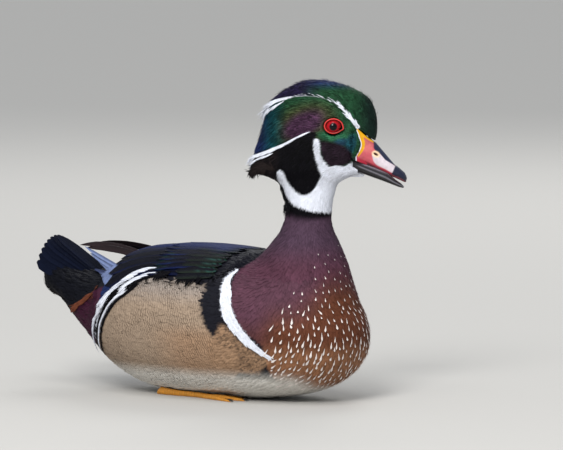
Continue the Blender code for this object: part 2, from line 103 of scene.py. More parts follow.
def beside(a, b, line):
    """Per point: its distance from the line, the share of the line before it, and the direction there."""
    steps = np.diff(line, axis=0)
    long = np.hypot(steps[:, 0], steps[:, 1])
    total = long.sum()
    best = np.full(len(a), 1e9)
    share, across, up = np.zeros((3, len(a)))
    done = 0.0
    for start, step, size in zip(line, steps, long):
        dx, dy = step / size
        along = np.clip((a - start[0]) * dx + (b - start[1]) * dy, 0, size)
        far = np.hypot(a - start[0] - along * dx, b - start[1] - along * dy)
        near = far < best
        best[near] = far[near]
        share[near] = (done + along[near]) / total
        across[near] = dx
        up[near] = dy
        done += size
    return best, share, across, up


def within(a, b, outline, soft=0.5):
    """1 inside a closed outline and 0 outside, with a soft edge."""
    ring = np.vstack([outline, outline[:1]])
    far = beside(a, b, ring)[0]
    odd = np.zeros(len(a), bool)
    for (x0, y0), (x1, y1) in zip(ring, ring[1:]):
        if y0 != y1:
            odd ^= ((y0 > b) != (y1 > b)) & (a < (x1 - x0) * (b - y0) / (y1 - y0) + x0)
    return ease(np.where(odd, far, -far), -soft, soft)


def stripe(a, b, line, widths, soft=0.3):
    """1 on a line whose width changes along it, 0 beside it."""
    far, share, _, _ = beside(a, b, line)
    half = np.interp(share, np.linspace(0, 1, len(widths)), widths) / 2
    return 1 - ease(far - half, -soft, soft)


def blob(a, b, middle, size, slant=0.0):
    """A round soft patch: 1 in its middle, fading to 0 at about its size."""
    x, y = a - middle[0], b - middle[1]
    along = x * math.cos(slant) + y * math.sin(slant)
    over = y * math.cos(slant) - x * math.sin(slant)
    return ease(np.hypot(along / size[0], over / size[1]), 1.25, 0.55)


def paint(colours, *layers):
    """Lays colours over others where their masks say, in turn."""
    for mask, colour in layers:
        colours += mask[:, None] * (colour - colours)


def head_place(places):
    x, y, z = places.T
    return x * COS + y * SIN - EYE_FORWARD, y * COS - x * SIN, z - EYE_HEIGHT


def from_head(forward, left, up):
    """The place of a point given forward, left and up from between the eyes."""
    forward = forward + EYE_FORWARD
    return np.stack([forward * COS - left * SIN, forward * SIN + left * COS, up + EYE_HEIGHT], -1)


# Lines of the markings in side view.
# On the head they are forward and up from the eye, on the body forward and up from the floor.
BROW = curve([
    (18, 0), (14.4, 4.6), (9.8, 10), (6.3, 14.3), (1.5, 17.6), (-5, 20.3), (-14, 22.4), (-26, 22.6),
    (-40, 19.6), (-54, 14.2)])
BROW_STRAND = curve([(-36, 18.5), (-41, 15.8), (-46.3, 12.6), (-50.7, 8.2), (-54.2, 3.9)])
CREST_LINE = curve([(-17.5, -3.6), (-25, -6.8), (-32.5, -11.0), (-39.9, -14.6), (-50, -19), (-61.5, -22.4)])
CREST_STRAND = curve([(-44, -19.5), (-52.4, -22.7), (-59.4, -26.3), (-64.7, -29.7)])
BILL_EDGE = curve([(17.1, -0.9), (18.8, -4.6), (20, -8.4), (21.2, -12.5), (20.4, -16.6), (17.5, -21.5)])
WHITE_FACE = curve(
    [
        (-14.4, -8.9), (-10.6, -9.4), (-9.8, -18.7), (-7.2, -24.6), (-3, -29.2), (1.5, -28.4), (8.9, -29),
        (14.5, -26.3), (26, -31), (32, -45), (12, -48), (9, -64.2), (-1.8, -64), (-9.8, -63.2),
        (-18.8, -61.8), (-29.6, -57.6), (-35.5, -51.5), (-39.5, -44), (-42, -33.5), (-37.5, -32.5),
        (-34, -40.2), (-29.6, -46), (-25.9, -49.1), (-22.4, -50.3), (-17.9, -49.3), (-13.5, -45.2),
        (-10.7, -40.2), (-8.9, -36.5), (-9.8, -33.2), (-12.1, -26.9), (-14.1, -19.5), (-14.9, -12.8)],
    2)
CHEEK = curve(
    [
        (-10.5, -10), (-4, -10.5), (6, -13), (12, -17), (14.5, -22), (12, -27), (5, -29.5), (-2, -30),
        (-7.2, -25), (-9.6, -18.5)],
    3)
COLLAR_LOWER = curve([
    (9, -64.2), (-1.8, -64), (-9.8, -63.2), (-18.8, -61.8), (-29.6, -57.6), (-35.5, -51.5), (-39.5, -44),
    (-42, -33)])
FLANK = curve(
    [
        (-36, 46), (-44, 55), (-49, 62), (-52, 70), (-55, 77), (-53, 83), (-55, 87), (-62, 86.5), (-66, 90),
        (-73, 92.5), (-81, 91), (-84, 87), (-89, 88), (-95, 91), (-104, 92), (-113, 91), (-121, 87),
        (-130, 80.5), (-139, 75), (-146, 69), (-153, 61), (-160, 51), (-166, 38), (-168, 24), (-150, 12),
        (-100, 8), (-50, 12), (-24, 24), (-20, 38)],
    3)
STRIPE_UPPER = curve([
    (-104, 94.5), (-112, 93.5), (-120, 90.5), (-128, 86.5), (-136, 81.5), (-147, 73), (-154, 66.5),
    (-160, 59.5), (-166, 51), (-171, 40)])
STRIPE_LOWER = curve([
    (-92, 92), (-100, 92.5), (-108, 91.5), (-115, 89), (-122, 85), (-129, 79.5), (-137, 74.5), (-144, 68.5),
    (-150, 62), (-156, 54), (-161, 44)])
STREAKED = np.array([
    (-33, 60), (-28, 58), (-20, 50), (-10, 42), (4, 34), (-10, 22), (-30, 24), (-46, 30), (-44, 46),
    (-38, 50)])
BREAST_BAR = curve([
    (-36, 98.5), (-38, 92.5), (-37, 87), (-34, 81), (-31.5, 74), (-27, 66), (-22, 59.5), (-16, 53),
    (-9, 46), (0, 39)])
BREAST_EDGE = curve([
    (-30, 112), (-32, 104), (-34.5, 98), (-33.5, 92), (-31.5, 85), (-29.5, 79), (-26, 71), (-21, 63.5),
    (-15.5, 57), (-9, 51), (0, 45)])
PLUME_LINE = curve([(-168, 79.5), (-176, 74.5), (-184, 69), (-192, 65), (-200, 61)])
MAROON = curve(
    [
        (-160, 80), (-170, 77.5), (-180, 71), (-190, 65), (-200, 60), (-204, 54), (-198, 46), (-186, 38),
        (-174, 36), (-168, 48), (-160, 60), (-152, 69)],
    3)

GREEN = shade(34, 74, 48)
NAVY = shade(26, 38, 84)
VIOLET = shade(34, 27, 58)
BLACK_GREEN = shade(16, 29, 28)
BRONZE = shade(70, 68, 40)
PURPLE = shade(70, 44, 66)
TEAL = shade(16, 66, 72)
WHITE = shade(224, 227, 236)
BLACK = shade(5, 4, 8)
CHEEK_DARK = shade(34, 22, 32)
NECK_MAUVE = shade(78, 58, 74)
BREAST_MAUVE = shade(88, 54, 68)
CHESTNUT = shade(100, 56, 36)
BUFF = shade(156, 136, 116)
BUFF_GREY = shade(152, 144, 138)
SOOT = shade(17, 17, 26)
MAROON_DARK = shade(58, 22, 42)
COPPER = shade(108, 60, 42)
RUMP_BLACK = shade(14, 15, 22)
TAIL_NAVY = shade(13, 17, 31)
VENT_BROWN = shade(30, 24, 24)


def head_colours(places):
    """Colour and gloss of the head and throat."""
    forward, left, up = head_place(places)
    colours = np.tile(GREEN, (len(forward), 1))
    over = np.interp(forward, BROW[::-1, 0], BROW[::-1, 1])
    crown = ease(up - over, -0.6, 0.6)
    crown = np.where(forward > 17.5, 1.0, crown)
    # crown: green, with a blue ridge, violet behind and black-green over the bill
    paint(
        colours,
        (crown * ease(up, 26, 34) * ease(forward, 24, 8), NAVY * 1.15),
        (crown * ease(forward, -6, -26), VIOLET),
        (crown * ease(forward, 13, 28) * 0.9, BLACK_GREEN))
    # side of the face: green round a bronze ring with purple in it, teal to navy at the back of the crest
    side = 1 - crown
    paint(
        colours,
        (side * blob(forward, up, (-21, 2.5), (25, 15), 0.35) * 0.85, BRONZE),
        (side * blob(forward, up, (-22.5, 1.4), (18.5, 9.8), 0.5), PURPLE),
        (side * ease(forward, -33, -46), TEAL),
        (side * ease(forward, -44, -56), NAVY * 0.8),
        (side * blob(forward, up, (0, -7), (13, 3.6), -0.15), shade(48, 108, 74)),
        (side * blob(forward, up, (7, -11), (7, 3)) * 0.7, shade(28, 58, 96)),
        (side * blob(forward, up, (13, -13), (4.5, 9), -0.3), shade(24, 66, 76)),
        (within(forward, up, CHEEK, 1.6), CHEEK_DARK))
    # everything under the crest line and behind the white bar is black
    under = np.interp(forward, CREST_LINE[::-1, 0], CREST_LINE[::-1, 1])
    ahead = np.interp(up, (-40, -34, -27, -16, -9), (-7, -9, -11.5, -13.5, -12.5))
    black = ease(up - under, 0.5, -0.5) * ease(forward - ahead, 0.5, -0.5)
    black = np.maximum(black, ease(up, -31.5, -33) * (forward < 0))
    paint(
        colours,
        (black, BLACK),
        (black * ease(forward, -38, -46), shade(24, 18, 20)))
    meets = np.where(forward < -30, ease(np.abs(left), 2.5, 5), 1.0)
    white = within(forward, up, WHITE_FACE, 0.6) * meets
    paint(
        colours,
        (white, WHITE),
        (stripe(forward, up, BILL_EDGE, (0.3, 0.8, 0.9, 0.8, 0.2)), WHITE))
    # below the collar: a black ring, deeper behind, that fades into the neck's mauve
    edge = np.interp(forward, COLLAR_LOWER[::-1, 0], COLLAR_LOWER[::-1, 1])
    below = edge - up
    depth = np.interp(forward, (-38, -20, 0), (15, 8, 3))
    paint(
        colours,
        (ease(below, -0.3, 0.3) * ease(up, -40, -46), BLACK),
        (ease(below, depth * 0.45, depth * 1.2) * ease(up, -40, -46), NECK_MAUVE))
    lines = np.zeros(len(forward))
    for line, widths in (
            (BROW, (3.0, 2.3, 1.0, 0, 0, 0, 0.4, 1.8, 2.2, 1.0)),
            (CREST_LINE, (0.3, 1.0, 1.6, 2.2, 1.5, 0.5))):
        lines = np.maximum(lines, stripe(forward, up, line, widths, 0.35))
    paint(colours, (lines, WHITE))
    gloss = 0.75 * (1 - white) * (1 - lines) * (1 - 0.6 * black) * ease(up, -46, -40)
    return colours, gloss


def body_colours(places):
    """Colour and gloss from the neck to the rump."""
    x, y, z = places.T
    out = np.abs(y)
    colours = np.tile(BREAST_MAUVE, (len(x), 1))
    paint(colours, (ease(z, 98, 122), NECK_MAUVE))
    low = 66 + 22 * ease(out, 44, 8)
    paint(
        colours,
        (ease(z, low + 16, low - 14) * ease(x, -8, 14), CHESTNUT),
        (ease(z, 68, 46) * ease(x, -34, -14) * 0.5, CHESTNUT),
        (ease(z, 50, 32) * ease(x, -24, 6), shade(150, 104, 74)))
    line_x = np.interp(z, BREAST_EDGE[::-1, 1], BREAST_EDGE[::-1, 0])
    behind = ease(line_x - x, -0.4, 0.4)
    paint(colours, (behind, SOOT))
    bar = stripe(x, z, BREAST_BAR, (0.5, 4.4, 7, 7.8, 7.8, 7.4, 6.6, 5.4, 4, 2), 0.35)
    paint(colours, (bar, WHITE))
    flank = within(x, z, FLANK, 0.7)
    paint(
        colours,
        (flank, BUFF),
        (flank * ease(z, 68, 88) * 0.8, BUFF_GREY),
        (flank * ease(z, 62, 46) * ease(x, -110, -60) * 0.6, shade(164, 126, 94)))
    streaks = ease(np.sin(x * 1.9 + z * 0.9) + 0.6 * np.sin(x * 0.8 - z * 1.7), 0.9, 0.2)
    low = within(x, z, STREAKED, 1.5) * (1 - bar) * (0.35 + 0.65 * streaks)
    paint(colours, (low, shade(158, 126, 98)))
    belly = ease(z, 27, 15) * ease(x, 26, 8)
    paint(colours, (belly, shade(224, 220, 212)))
    # upper rump black, maroon patch on its side, vent dusky
    rump = ease(x, -160, -170) * (1 - flank)
    paint(
        colours,
        (rump, RUMP_BLACK),
        (rump * ease(z, 62, 44), VENT_BROWN),
        (within(x, z, MAROON, 1.2), MAROON_DARK))
    vent = ease(x, -158, -172) * ease(x, -205, -188) * ease(z, 34, 24)
    paint(colours, (vent * 0.7, shade(150, 138, 128)))
    white = np.zeros(len(x))
    for line, widths in (
            (STRIPE_UPPER, (1, 3, 3.6, 3.4, 3.2, 3, 2.6, 2.4, 2, 1)),
            (STRIPE_LOWER, (1, 2.6, 3, 2.4, 2.4, 2.2, 2, 1.8, 1.6, 1))):
        white = np.maximum(white, stripe(x, z, line, widths))
    gap = stripe(x, z, STRIPE_UPPER, (6.5, 8, 8, 7, 6, 6, 5))
    paint(
        colours,
        (gap * ease(x, -100, -106) * (z > 40), BLACK),
        (white, WHITE))
    gloss = 0.35 * (1 - flank) * (1 - bar) * (1 - white) * (1 - belly)
    return colours, gloss


def coat_colours(places):
    """Colour and gloss anywhere on the skin."""
    head, head_gloss = head_colours(places)
    body, body_gloss = body_colours(places)
    share = ease(places[:, 2], 126, 134)
    return body + share[:, None] * (head - body), body_gloss + share * (head_gloss - body_gloss)


# Lines that the feathers lie along, from bill to tail.
HEAD_LIE = [curve(line, 2) for line in (
    [
        (33, -10), (33, 4), (26, 20), (10, 32), (-10, 35), (-30, 29), (-45, 20), (-54, 4), (-58, -14),
        (-62, -36)],
    [(18, 0), (9.8, 10), (1.5, 17.6), (-14, 22.4), (-40, 19.6), (-58, 12)],
    [(20, -5), (12, -7), (-2, -8), (-17.5, -3.6), (-32.5, -11.2), (-50, -19), (-64, -24)],
    [(-6, 1), (-22, 4), (-40, 2), (-56, -8)],
    [(15, -21), (2, -23), (-12, -28), (-24, -37), (-33, -50)],
    [(24, -34), (8, -37), (0, -46), (-3, -66)],
    [(-14, -10), (-24, -27), (-32, -45), (-34, -60)])]
BODY_LIE = [curve(line, 2) for line in (
    [(-17, 150), (-21, 122), (-45, 109), (-120, 111), (-180, 103), (-250, 98)],
    [(0, 150), (-8, 112), (-27, 86), (-60, 74), (-110, 68), (-160, 61), (-200, 64), (-245, 84)],
    [
        (17, 150), (24, 110), (38, 75), (45, 48), (30, 15), (0, 2), (-60, 0), (-120, 2), (-170, 12),
        (-215, 40), (-245, 70)],
    [(9, 150), (12, 100), (10, 60), (-8, 32), (-45, 20), (-100, 15), (-160, 23), (-205, 45)])]


def guided(a, b, guides):
    """The direction of the guide lines, the nearest counting most."""
    across, up = np.zeros((2, len(a)))
    for line in guides:
        far, _, dx, dy = beside(a, b, line)
        weight = 1 / (far * far + 6)
        across += dx * weight
        up += dy * weight
    return across, up


def lie(places, normals):
    """The way the feathers lie there, along the surface."""
    forward, _, up = head_place(places)
    back, rise = guided(forward, up, HEAD_LIE)
    head = unit(np.stack([back * COS, back * SIN, rise], -1))
    back, rise = guided(places[:, 0], places[:, 2], BODY_LIE)
    body = unit(np.stack([back, back * 0, rise], -1))
    share = ease(places[:, 2], 138, 152)[:, None]
    way = head * share + body * (1 - share)
    return unit(way - normals * dot(way, normals))


def put(name, data):
    """A new object in the scene."""
    thing = bpy.data.objects.new(name, data)
    bpy.context.scene.collection.objects.link(thing)
    return thing


def as_mesh(bm, name):
    mesh = bpy.data.meshes.new(name)
    bm.to_mesh(mesh)
    bm.free()
    return mesh


def dress(thing, finish, slot, *nodes):
    """Gives a piece its material and body, and hides the CAD nodes that it stands for; its slot is not
    used.
    """
    thing.data.materials.clear()
    thing.data.materials.append(finish)
    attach(thing, "root")
    if nodes:
        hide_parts(*nodes)


def smooth_form(names, voxel, rounds, name, grow=0.25):
    """One closed smooth mesh round copies of CAD nodes, swollen a little so that their gaps close."""
    bm = bmesh.new()
    for node in names:
        part = bmesh.new()
        part.from_mesh(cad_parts[node].data)
        bmesh.ops.remove_doubles(part, verts=part.verts, dist=0.00002)
        part.normal_update()
        for vert in part.verts:
            vert.co += vert.normal * grow * MM
        copy = as_mesh(part, "copy")
        bm.from_mesh(copy)
        bpy.data.meshes.remove(copy)
    mesh = as_mesh(bm, name)
    thing = put(name, mesh)
    remesh = thing.modifiers.new("Even", "REMESH")
    remesh.mode = "VOXEL"
    remesh.voxel_size = voxel * MM
    soften = thing.modifiers.new("Soften", "SMOOTH")
    soften.factor = 0.5
    soften.iterations = rounds
    bpy.context.view_layer.update()
    made = bpy.data.meshes.new_from_object(thing.evaluated_get(bpy.context.evaluated_depsgraph_get()))
    thing.modifiers.clear()
    thing.data = made
    made.name = name
    bpy.data.meshes.remove(mesh)
    made.shade_smooth()
    return thing


def values_of(rows, name, width=1, kind=np.float32):
    """One value of every row of a mesh's table."""
    values = np.empty(len(rows) * width, kind)
    rows.foreach_get(name, values)
    return values.reshape(-1, width)


def read_mesh(mesh):
    """Places and normals of the vertices, in millimetres from the neck."""
    places, normals = (values_of(mesh.vertices, name, 3).astype(float) for name in ("co", "normal"))
    return places / MM - NECK, normals


def write_places(mesh, places):
    mesh.vertices.foreach_set("co", ((places + NECK) * MM).astype(np.float32).ravel())
    mesh.update()


def triangles(mesh):
    """The mesh's triangles: the vertices and the loops at their corners."""
    mesh.calc_loop_triangles()
    return [values_of(mesh.loop_triangles, name, 3, np.int32) for name in ("vertices", "loops")]


def mesh_tree(mesh):
    """A search tree of the mesh's triangles, in millimetres from the neck."""
    places, _ = read_mesh(mesh)
    return BVHTree.FromPolygons(places.tolist(), triangles(mesh)[0].tolist())


def tree_of(meshes):
    """One search tree of the faces of several meshes."""
    places, faces = [], []
    for mesh in meshes:
        start = len(places)
        places += read_mesh(mesh)[0].tolist()
        faces += [[start + corner for corner in face.vertices] for face in mesh.polygons]
    return BVHTree.FromPolygons(places, faces)


def hit_rows(hits):
    """The places and the normals of a tree's hits."""
    return np.array([hit[0][:] for hit in hits]), np.array([hit[1][:] for hit in hits])


def nearest(tree, places):
    return hit_rows([tree.find_nearest(place) for place in places.tolist()])


def blocked(tree, places, normals, reach):
    """Whether something of the tree stands over each place within reach."""
    rays = zip(places.tolist(), normals.tolist())
    return np.array([tree.ray_cast(place, way, reach)[0] is not None for place, way in rays])


def wing_cover(places):
    """1 where the folded wing's feathers hide the skin."""
    x, _, z = places.T
    edge = np.interp(-x, (36, 42, 50, 60, 100, 130, 150, 160, 176), (112, 96, 90, 87, 88, 80, 70, 64, 92))
    return ease(z - edge, -1, 9) * (x < -38) * (x > -176)


def coat_depth(places):
    """How deep the skin lies under the tips of the coat."""
    x, _, z = places.T
    forward = head_place(places)[0]
    head = np.interp(forward, (-60, -40, -10, 20, 30), (1.1, 1.0, 0.7, 0.4, 0.4))
    body = 0.9 + 0.3 * ease(x, -20, -60) + 0.5 * ease(x, -165, -200) + 2.0 * wing_cover(places)
    depth = 0.8 + (head - 0.8) * ease(z, 150, 168)
    return body + (depth - body) * ease(z, 100, 135)


def set_values(mesh, name, kind, field, values):
    """A new attribute with a value at every vertex."""
    layer = mesh.attributes.new(name, kind, "POINT")
    layer.data.foreach_set(field, values.astype(np.float32).ravel())


def set_colours(mesh, colours, gloss):
    set_values(mesh, "coat", "FLOAT_COLOR", "color", np.hstack([colours, np.ones((len(colours), 1))]))
    set_values(mesh, "gloss", "FLOAT", "value", gloss)


def make_skin():
    """The one skin, smooth from bill to tail, under the coat by its depth."""
    skin = smooth_form(FLESH + WINGS, SKIN_VOXEL, SKIN_SMOOTHING, "skin")
    places, normals = read_mesh(skin.data)
    places -= normals * (coat_depth(places) + 0.25)[:, None]
    # beside the lower bill the cheek stops at the gape
    forward, left, up = head_place(places)
    foot = -31.0 - (forward - 15) * 0.42
    open_here = ease(forward, 13.2, 15.4) * ease(up, -20.5, -22.5) * ease(up - foot, 0.0, 1.2)
    narrow = np.sign(left) * np.minimum(np.abs(left), 6.0)
    places = from_head(forward, left + open_here * (narrow - left), up)
    places[:, 2] = np.maximum(places[:, 2], 0.6)
    write_places(skin.data, places)
    set_colours(skin.data, *coat_colours(places))
    return skin


def plan_skin(skin):
    """Unwraps the skin by its own shape: its head as large as its body, side by side."""
    mesh = skin.data
    mesh.uv_layers.new(name="plan")
    heights = values_of(mesh.polygons, "center", 3)[:, 2] / MM
    bpy.context.view_layer.objects.active = skin
    bpy.context.tool_settings.mesh_select_mode = (False, False, True)
    for chosen in (heights > HEAD_FROM, heights <= HEAD_FROM):
        mesh.polygons.foreach_set("select", chosen)
        bpy.ops.object.mode_set(mode="EDIT")
        bpy.ops.uv.smart_project(angle_limit=1.15, island_margin=0.002, scale_to_bounds=True)
        bpy.ops.object.mode_set(mode="OBJECT")
    layer = mesh.uv_layers["plan"].uv
    plan = values_of(layer, "vector", 2)
    corners = values_of(mesh.polygons, "loop_total", kind=np.int32)[:, 0]
    plan[np.repeat(heights > HEAD_FROM, corners), 0] += HEAD_SHIFT
    layer.foreach_set("vector", plan.ravel())


# spacing, length, half width and lift of the feathers, in millimetres
FEATHER_SIZES = {
    "face": (0.72, 2.3, 0.42, 0.3), "crown": (0.88, 4.8, 0.5, 0.6), "crest": (1.2, 8.5, 0.62, 0.85),
    "neck": (1.15, 5.4, 0.8, 0.7), "breast": (1.5, 6.8, 1.3, 0.85), "flank": (1.9, 11.0, 2.0, 1.15),
    "back": (2.6, 12.0, 2.6, 1.6), "belly": (2.1, 9.5, 1.8, 1.2), "rump": (2.1, 12.0, 1.6, 1.6)}


def sizes(places):
    """Per place: spacing, length, half width and lift of the feathers there."""
    x, _, z = places.T
    forward = head_place(places)[0]
    rows = {name: np.array(values) for name, values in FEATHER_SIZES.items()}

    def mix(a, b, share):
        return a + share[:, None] * (b - a)

    head = mix(rows["face"], rows["crown"], ease(forward, 20, -8))
    head = mix(head, rows["crest"], ease(forward, -30, -50))
    body = mix(rows["breast"], rows["flank"], ease(x, -20, -60))
    body = mix(body, rows["back"], ease(z, 88, 98) * ease(x, -38, -48))
    body = mix(body, rows["belly"], ease(z, 26, 14))
    body = mix(body, rows["rump"], ease(x, -160, -178))
    body = mix(body, rows["neck"], ease(z, 98, 126))
    return mix(body, head, ease(z, 152, 168)).T


def sow(mesh, spacing, chances=9):
    """Evenly spread roots over the mesh: their places and normals."""
    places, normals = read_mesh(mesh)
    corners, _ = triangles(mesh)
    a, b, c = places[corners].transpose(1, 0, 2)
    area = np.linalg.norm(np.cross(b - a, c - a), axis=1) / 2
    gap = spacing((a + b + c) / 3)
    picked = np.repeat(np.arange(len(corners)), rng.poisson(area / gap**2 * chances))
    rng.shuffle(picked)
    first, second = rng.random((2, len(picked)))
    over = first + second > 1
    first[over], second[over] = 1 - first[over], 1 - second[over]
    share = np.stack([1 - first - second, first, second], 1)[:, :, None]
    spots = (places[corners[picked]] * share).sum(1)
    gap = gap[picked]
    tree = KDTree(len(spots))
    listed = spots.tolist()
    for index, spot in enumerate(listed):
        tree.insert(spot, index)
    tree.balance()
    free = bytearray(b"\1") * len(spots)
    kept = []
    for index, spot in enumerate(listed):
        if free[index]:
            kept.append(index)
            for _, other, _ in tree.find_range(spot, gap[index]):
                free[other] = 0
    kept = np.array(kept)
    share = share[kept]
    return spots[kept], unit((normals[corners[picked[kept]]] * share).sum(1))


TUFT_RING = ((1, 0), (0, 1), (-1, 0))
TUFT_WIDTHS = ((0, 0.55), (0.35, 1), (0.7, 0.9), (0.9, 0.5), (1, 0.12))
UPPER_FACES = {3: 2, 12: 8}  # by the corners of a vane's ring, how many of its faces look up
TUFT_FEATHERS = 6  # so many neighbours share their tone
TUFT_PATCH = 0.003  # the side of a small feather's patch on the bake's map
QUILL_PATCH = 0.02  # the few large feathers take larger patches of the bake's map
HUG_REACH = 2.5  # how far a long feather's edge bends to stay on the body
MARK_WIDTHS = ((0, 0.1), (0.3, 0.35), (0.75, 1), (0.92, 0.8), (1, 0.3))
LOCK_GLOSS = 0.05


def vane_points(centres, normals, half, heights, ring, ridge, hug=None):
    """Closed thin vanes. Each row of a vane is a ring of points, from its left edge over the shaft."""
    way = np.gradient(centres, axis=1)
    way = unit(way - normals * dot(way, normals))
    left = np.cross(normals, way)
    rows = []
    for across, over in ring:
        point = centres + left * (half * across)[:, :, None]
        if hug is not None:
            flat = point.reshape(-1, 3)
            found = nearest(hug, flat)[0]
            gone = np.linalg.norm(found - flat, axis=1) > HUG_REACH
            found[gone] = flat[gone]
            point = found.reshape(point.shape)
        rows.append(point + normals * (heights + over * ridge * half)[:, :, None])
    return np.stack(rows, axis=2)


def grow_vanes(
        tree, roots, normals, length, half, lift, turn,
        rows=4, way=lie, widths=TUFT_WIDTHS, sink=0.35, ridge=0.22, leave=0.45, stiff=0.0):
    """Vanes that run from their roots over the surface, and leave it where it ends under them."""
    place, normal = roots, normals
    step = (length / (rows - 1))[:, None]
    turn = turn[:, None]
    centres, ups = [place], [normal]
    loose = np.zeros(len(roots), bool)
    before = None
    for _ in range(rows - 1):
        heading = way(place, normal)
        heading = heading * np.cos(turn) + np.cross(normal, heading) * np.sin(turn)
        if before is not None:
            heading = unit(heading + stiff / (1 - stiff) * before)
            heading[loose] = before[loose]
        free = place + heading * step
        found, up = nearest(tree, free)
        off = free - found
        size = np.linalg.norm(off, axis=1)
        if leave:
            loose = loose | (((off * heading).sum(1) > 0.55 * size) & (size > 0.3 * step[:, 0]))
        found[loose] = place[loose] + heading[loose] * step[loose] * leave
        found += stiff * (free - found)
        up = unit(up * 0.5 + normal * 0.5)
        up[loose] = normal[loose]
        place, normal, before = found, up, heading
        centres.append(place)
        ups.append(normal)
    centres, ups = np.stack(centres, 1), np.stack(ups, 1)
    share = np.linspace(0, 1, rows)
    shape = np.interp(share, *np.array(widths).T)
    heights = -sink + (lift[:, None] + sink) * share**0.8
    return vane_points(centres, ups, half[:, None] * shape, heights, TUFT_RING, ridge), ups


def vane_faces(count, rows, ring):
    """Corner numbers of every face, as flat loops and face starts."""
    step, turn = np.meshgrid(np.arange(rows - 1), np.arange(ring), indexing="ij")
    step, turn = step.ravel(), turn.ravel()
    after = (turn + 1) % ring
    quads = np.stack(
        [step * ring + turn, step * ring + after, (step + 1) * ring + after, (step + 1) * ring + turn], 1)
    root = np.arange(ring)[::-1]
    tip = (rows - 1) * ring + np.arange(ring)
    one = np.concatenate([quads.ravel(), root, tip])
    starts = np.concatenate([np.arange(len(quads)) * 4, [len(quads) * 4, len(quads) * 4 + ring]])
    size = rows * ring
    loops = (one[None] + (np.arange(count) * size)[:, None]).ravel()
    starts = (starts[None] + (np.arange(count) * len(one))[:, None]).ravel()
    return loops, starts


def soften_normals(mesh, ups, loops, rows, ring, soft):
    """Shades the upper side of every vane mostly as the form under it, so that the coat looks soft."""
    _, own = read_mesh(mesh)
    over = np.repeat(ups.reshape(-1, 3), ring, axis=0)
    blended = unit(own + soft / (1 - soft) * over)
    turn = np.tile(np.repeat(np.arange(ring), 4), rows - 1)
    turn = np.tile(np.concatenate([turn, np.full(2 * ring, ring)]), len(ups))
    upper = turn < UPPER_FACES[ring]
    mesh.normals_split_custom_set(np.where(upper[:, None], blended[loops], own[loops]).astype(np.float32))


def vane_piece(name, slot, finish, points, ups, colours, gloss, soft=0.7, patch=TUFT_PATCH, nodes=()):
    """One joined mesh of vanes with their colours, the barbs' places and, for a coat, the bake's map."""
    count, rows, ring, _ = points.shape
    flat = points.reshape(-1, 3)
    flat = np.stack([flat[:, 0], flat[:, 1], np.maximum(flat[:, 2], 0.08)], 1)
    loops, starts = vane_faces(count, rows, ring)
    mesh = bpy.data.meshes.new(name)
    mesh.vertices.add(len(flat))
    mesh.loops.add(len(loops))
    mesh.polygons.add(len(starts))
    mesh.loops.foreach_set("vertex_index", loops.astype(np.int32))
    mesh.polygons.foreach_set("loop_start", starts.astype(np.int32))
    write_places(mesh, flat)
    mesh.update(calc_edges=True)
    mesh.validate()
    mesh.shade_smooth()
    soften_normals(mesh, ups, loops, rows, ring, soft)
    set_colours(mesh, colours.reshape(-1, 3), gloss.reshape(-1))
    along = np.linalg.norm(points - points[:, :1], axis=3)
    middle = points.mean(axis=2, keepdims=True)
    across = np.linalg.norm(points - middle, axis=3)
    marks = np.stack([across, along, np.broadcast_to(rng.random((count, 1, 1)) * 50, along.shape)], -1)
    set_values(mesh, "vane", "FLOAT_VECTOR", "vector", marks)
    plan = plan_at(points[:, 0].mean(axis=1))
    low, high = plan.min(0), plan.max(0)
    spot = (plan - low) / (high - low) * (1 - 2 * patch)
    corner = np.stack(
        np.meshgrid(np.linspace(0, 1, rows), np.linspace(0, 1, ring), indexing="ij"), -1) * patch
    places = (spot[:, None, None] + corner[None] + patch / 2).reshape(-1, 2)
    layer = mesh.uv_layers.new(name="OFBake")
    layer.uv.foreach_set("vector", places[loops].astype(np.float32).ravel())
    thing = put(name, mesh)
    dress(thing, finish, slot, *nodes)
    return thing


def vane_colours(points, spread=0.4, shades=0.1, depth=0.15):
    """Each vane takes the marking under its showing half, a little along it, and a lightness of its own,
    with painted shade towards its root.
    """
    count, rows, ring, _ = points.shape
    middle = points[:, -2].mean(axis=1)[:, None, None]
    asked = (middle + spread * (points - middle)).reshape(-1, 3)
    colours, gloss = coat_colours(asked)
    pale = ease(colours.reshape(points.shape).mean(axis=(1, 2, 3)), 0.2, 0.55)[:, None]
    # neighbours share part of their tone, as the feathers of one tuft do
    number = count // TUFT_FEATHERS + 1
    tufts = KDTree(number)
    for index, place in enumerate(points[::TUFT_FEATHERS, 0, 0].tolist()):
        tufts.insert(place, index)
    tufts.balance()
    nearby = [tufts.find(place)[1] for place in points[:, 0, 0].tolist()]
    shared = rng.standard_normal(number)[nearby][:, None]
    own = np.exp(shades * (1 - 0.9 * pale) * (0.5 * rng.standard_normal((count, 1)) + 0.95 * shared))
    # painted shade: each vane is darker towards its root, where the vanes over it would shade it, and less
    # so on pale vanes
    depth = depth * (1 - 0.85 * pale[:, :, None])
    share = np.linspace(0, 1, rows)[:, None]
    tone = own[:, :, None] * (1 - depth * (1 - share[None])) * np.ones((1, 1, ring))
    colours = colours.reshape(points.shape) * np.clip(tone, 0.3, 2.2)[..., None]
    return colours, gloss.reshape(points.shape[:3])


# Finishes


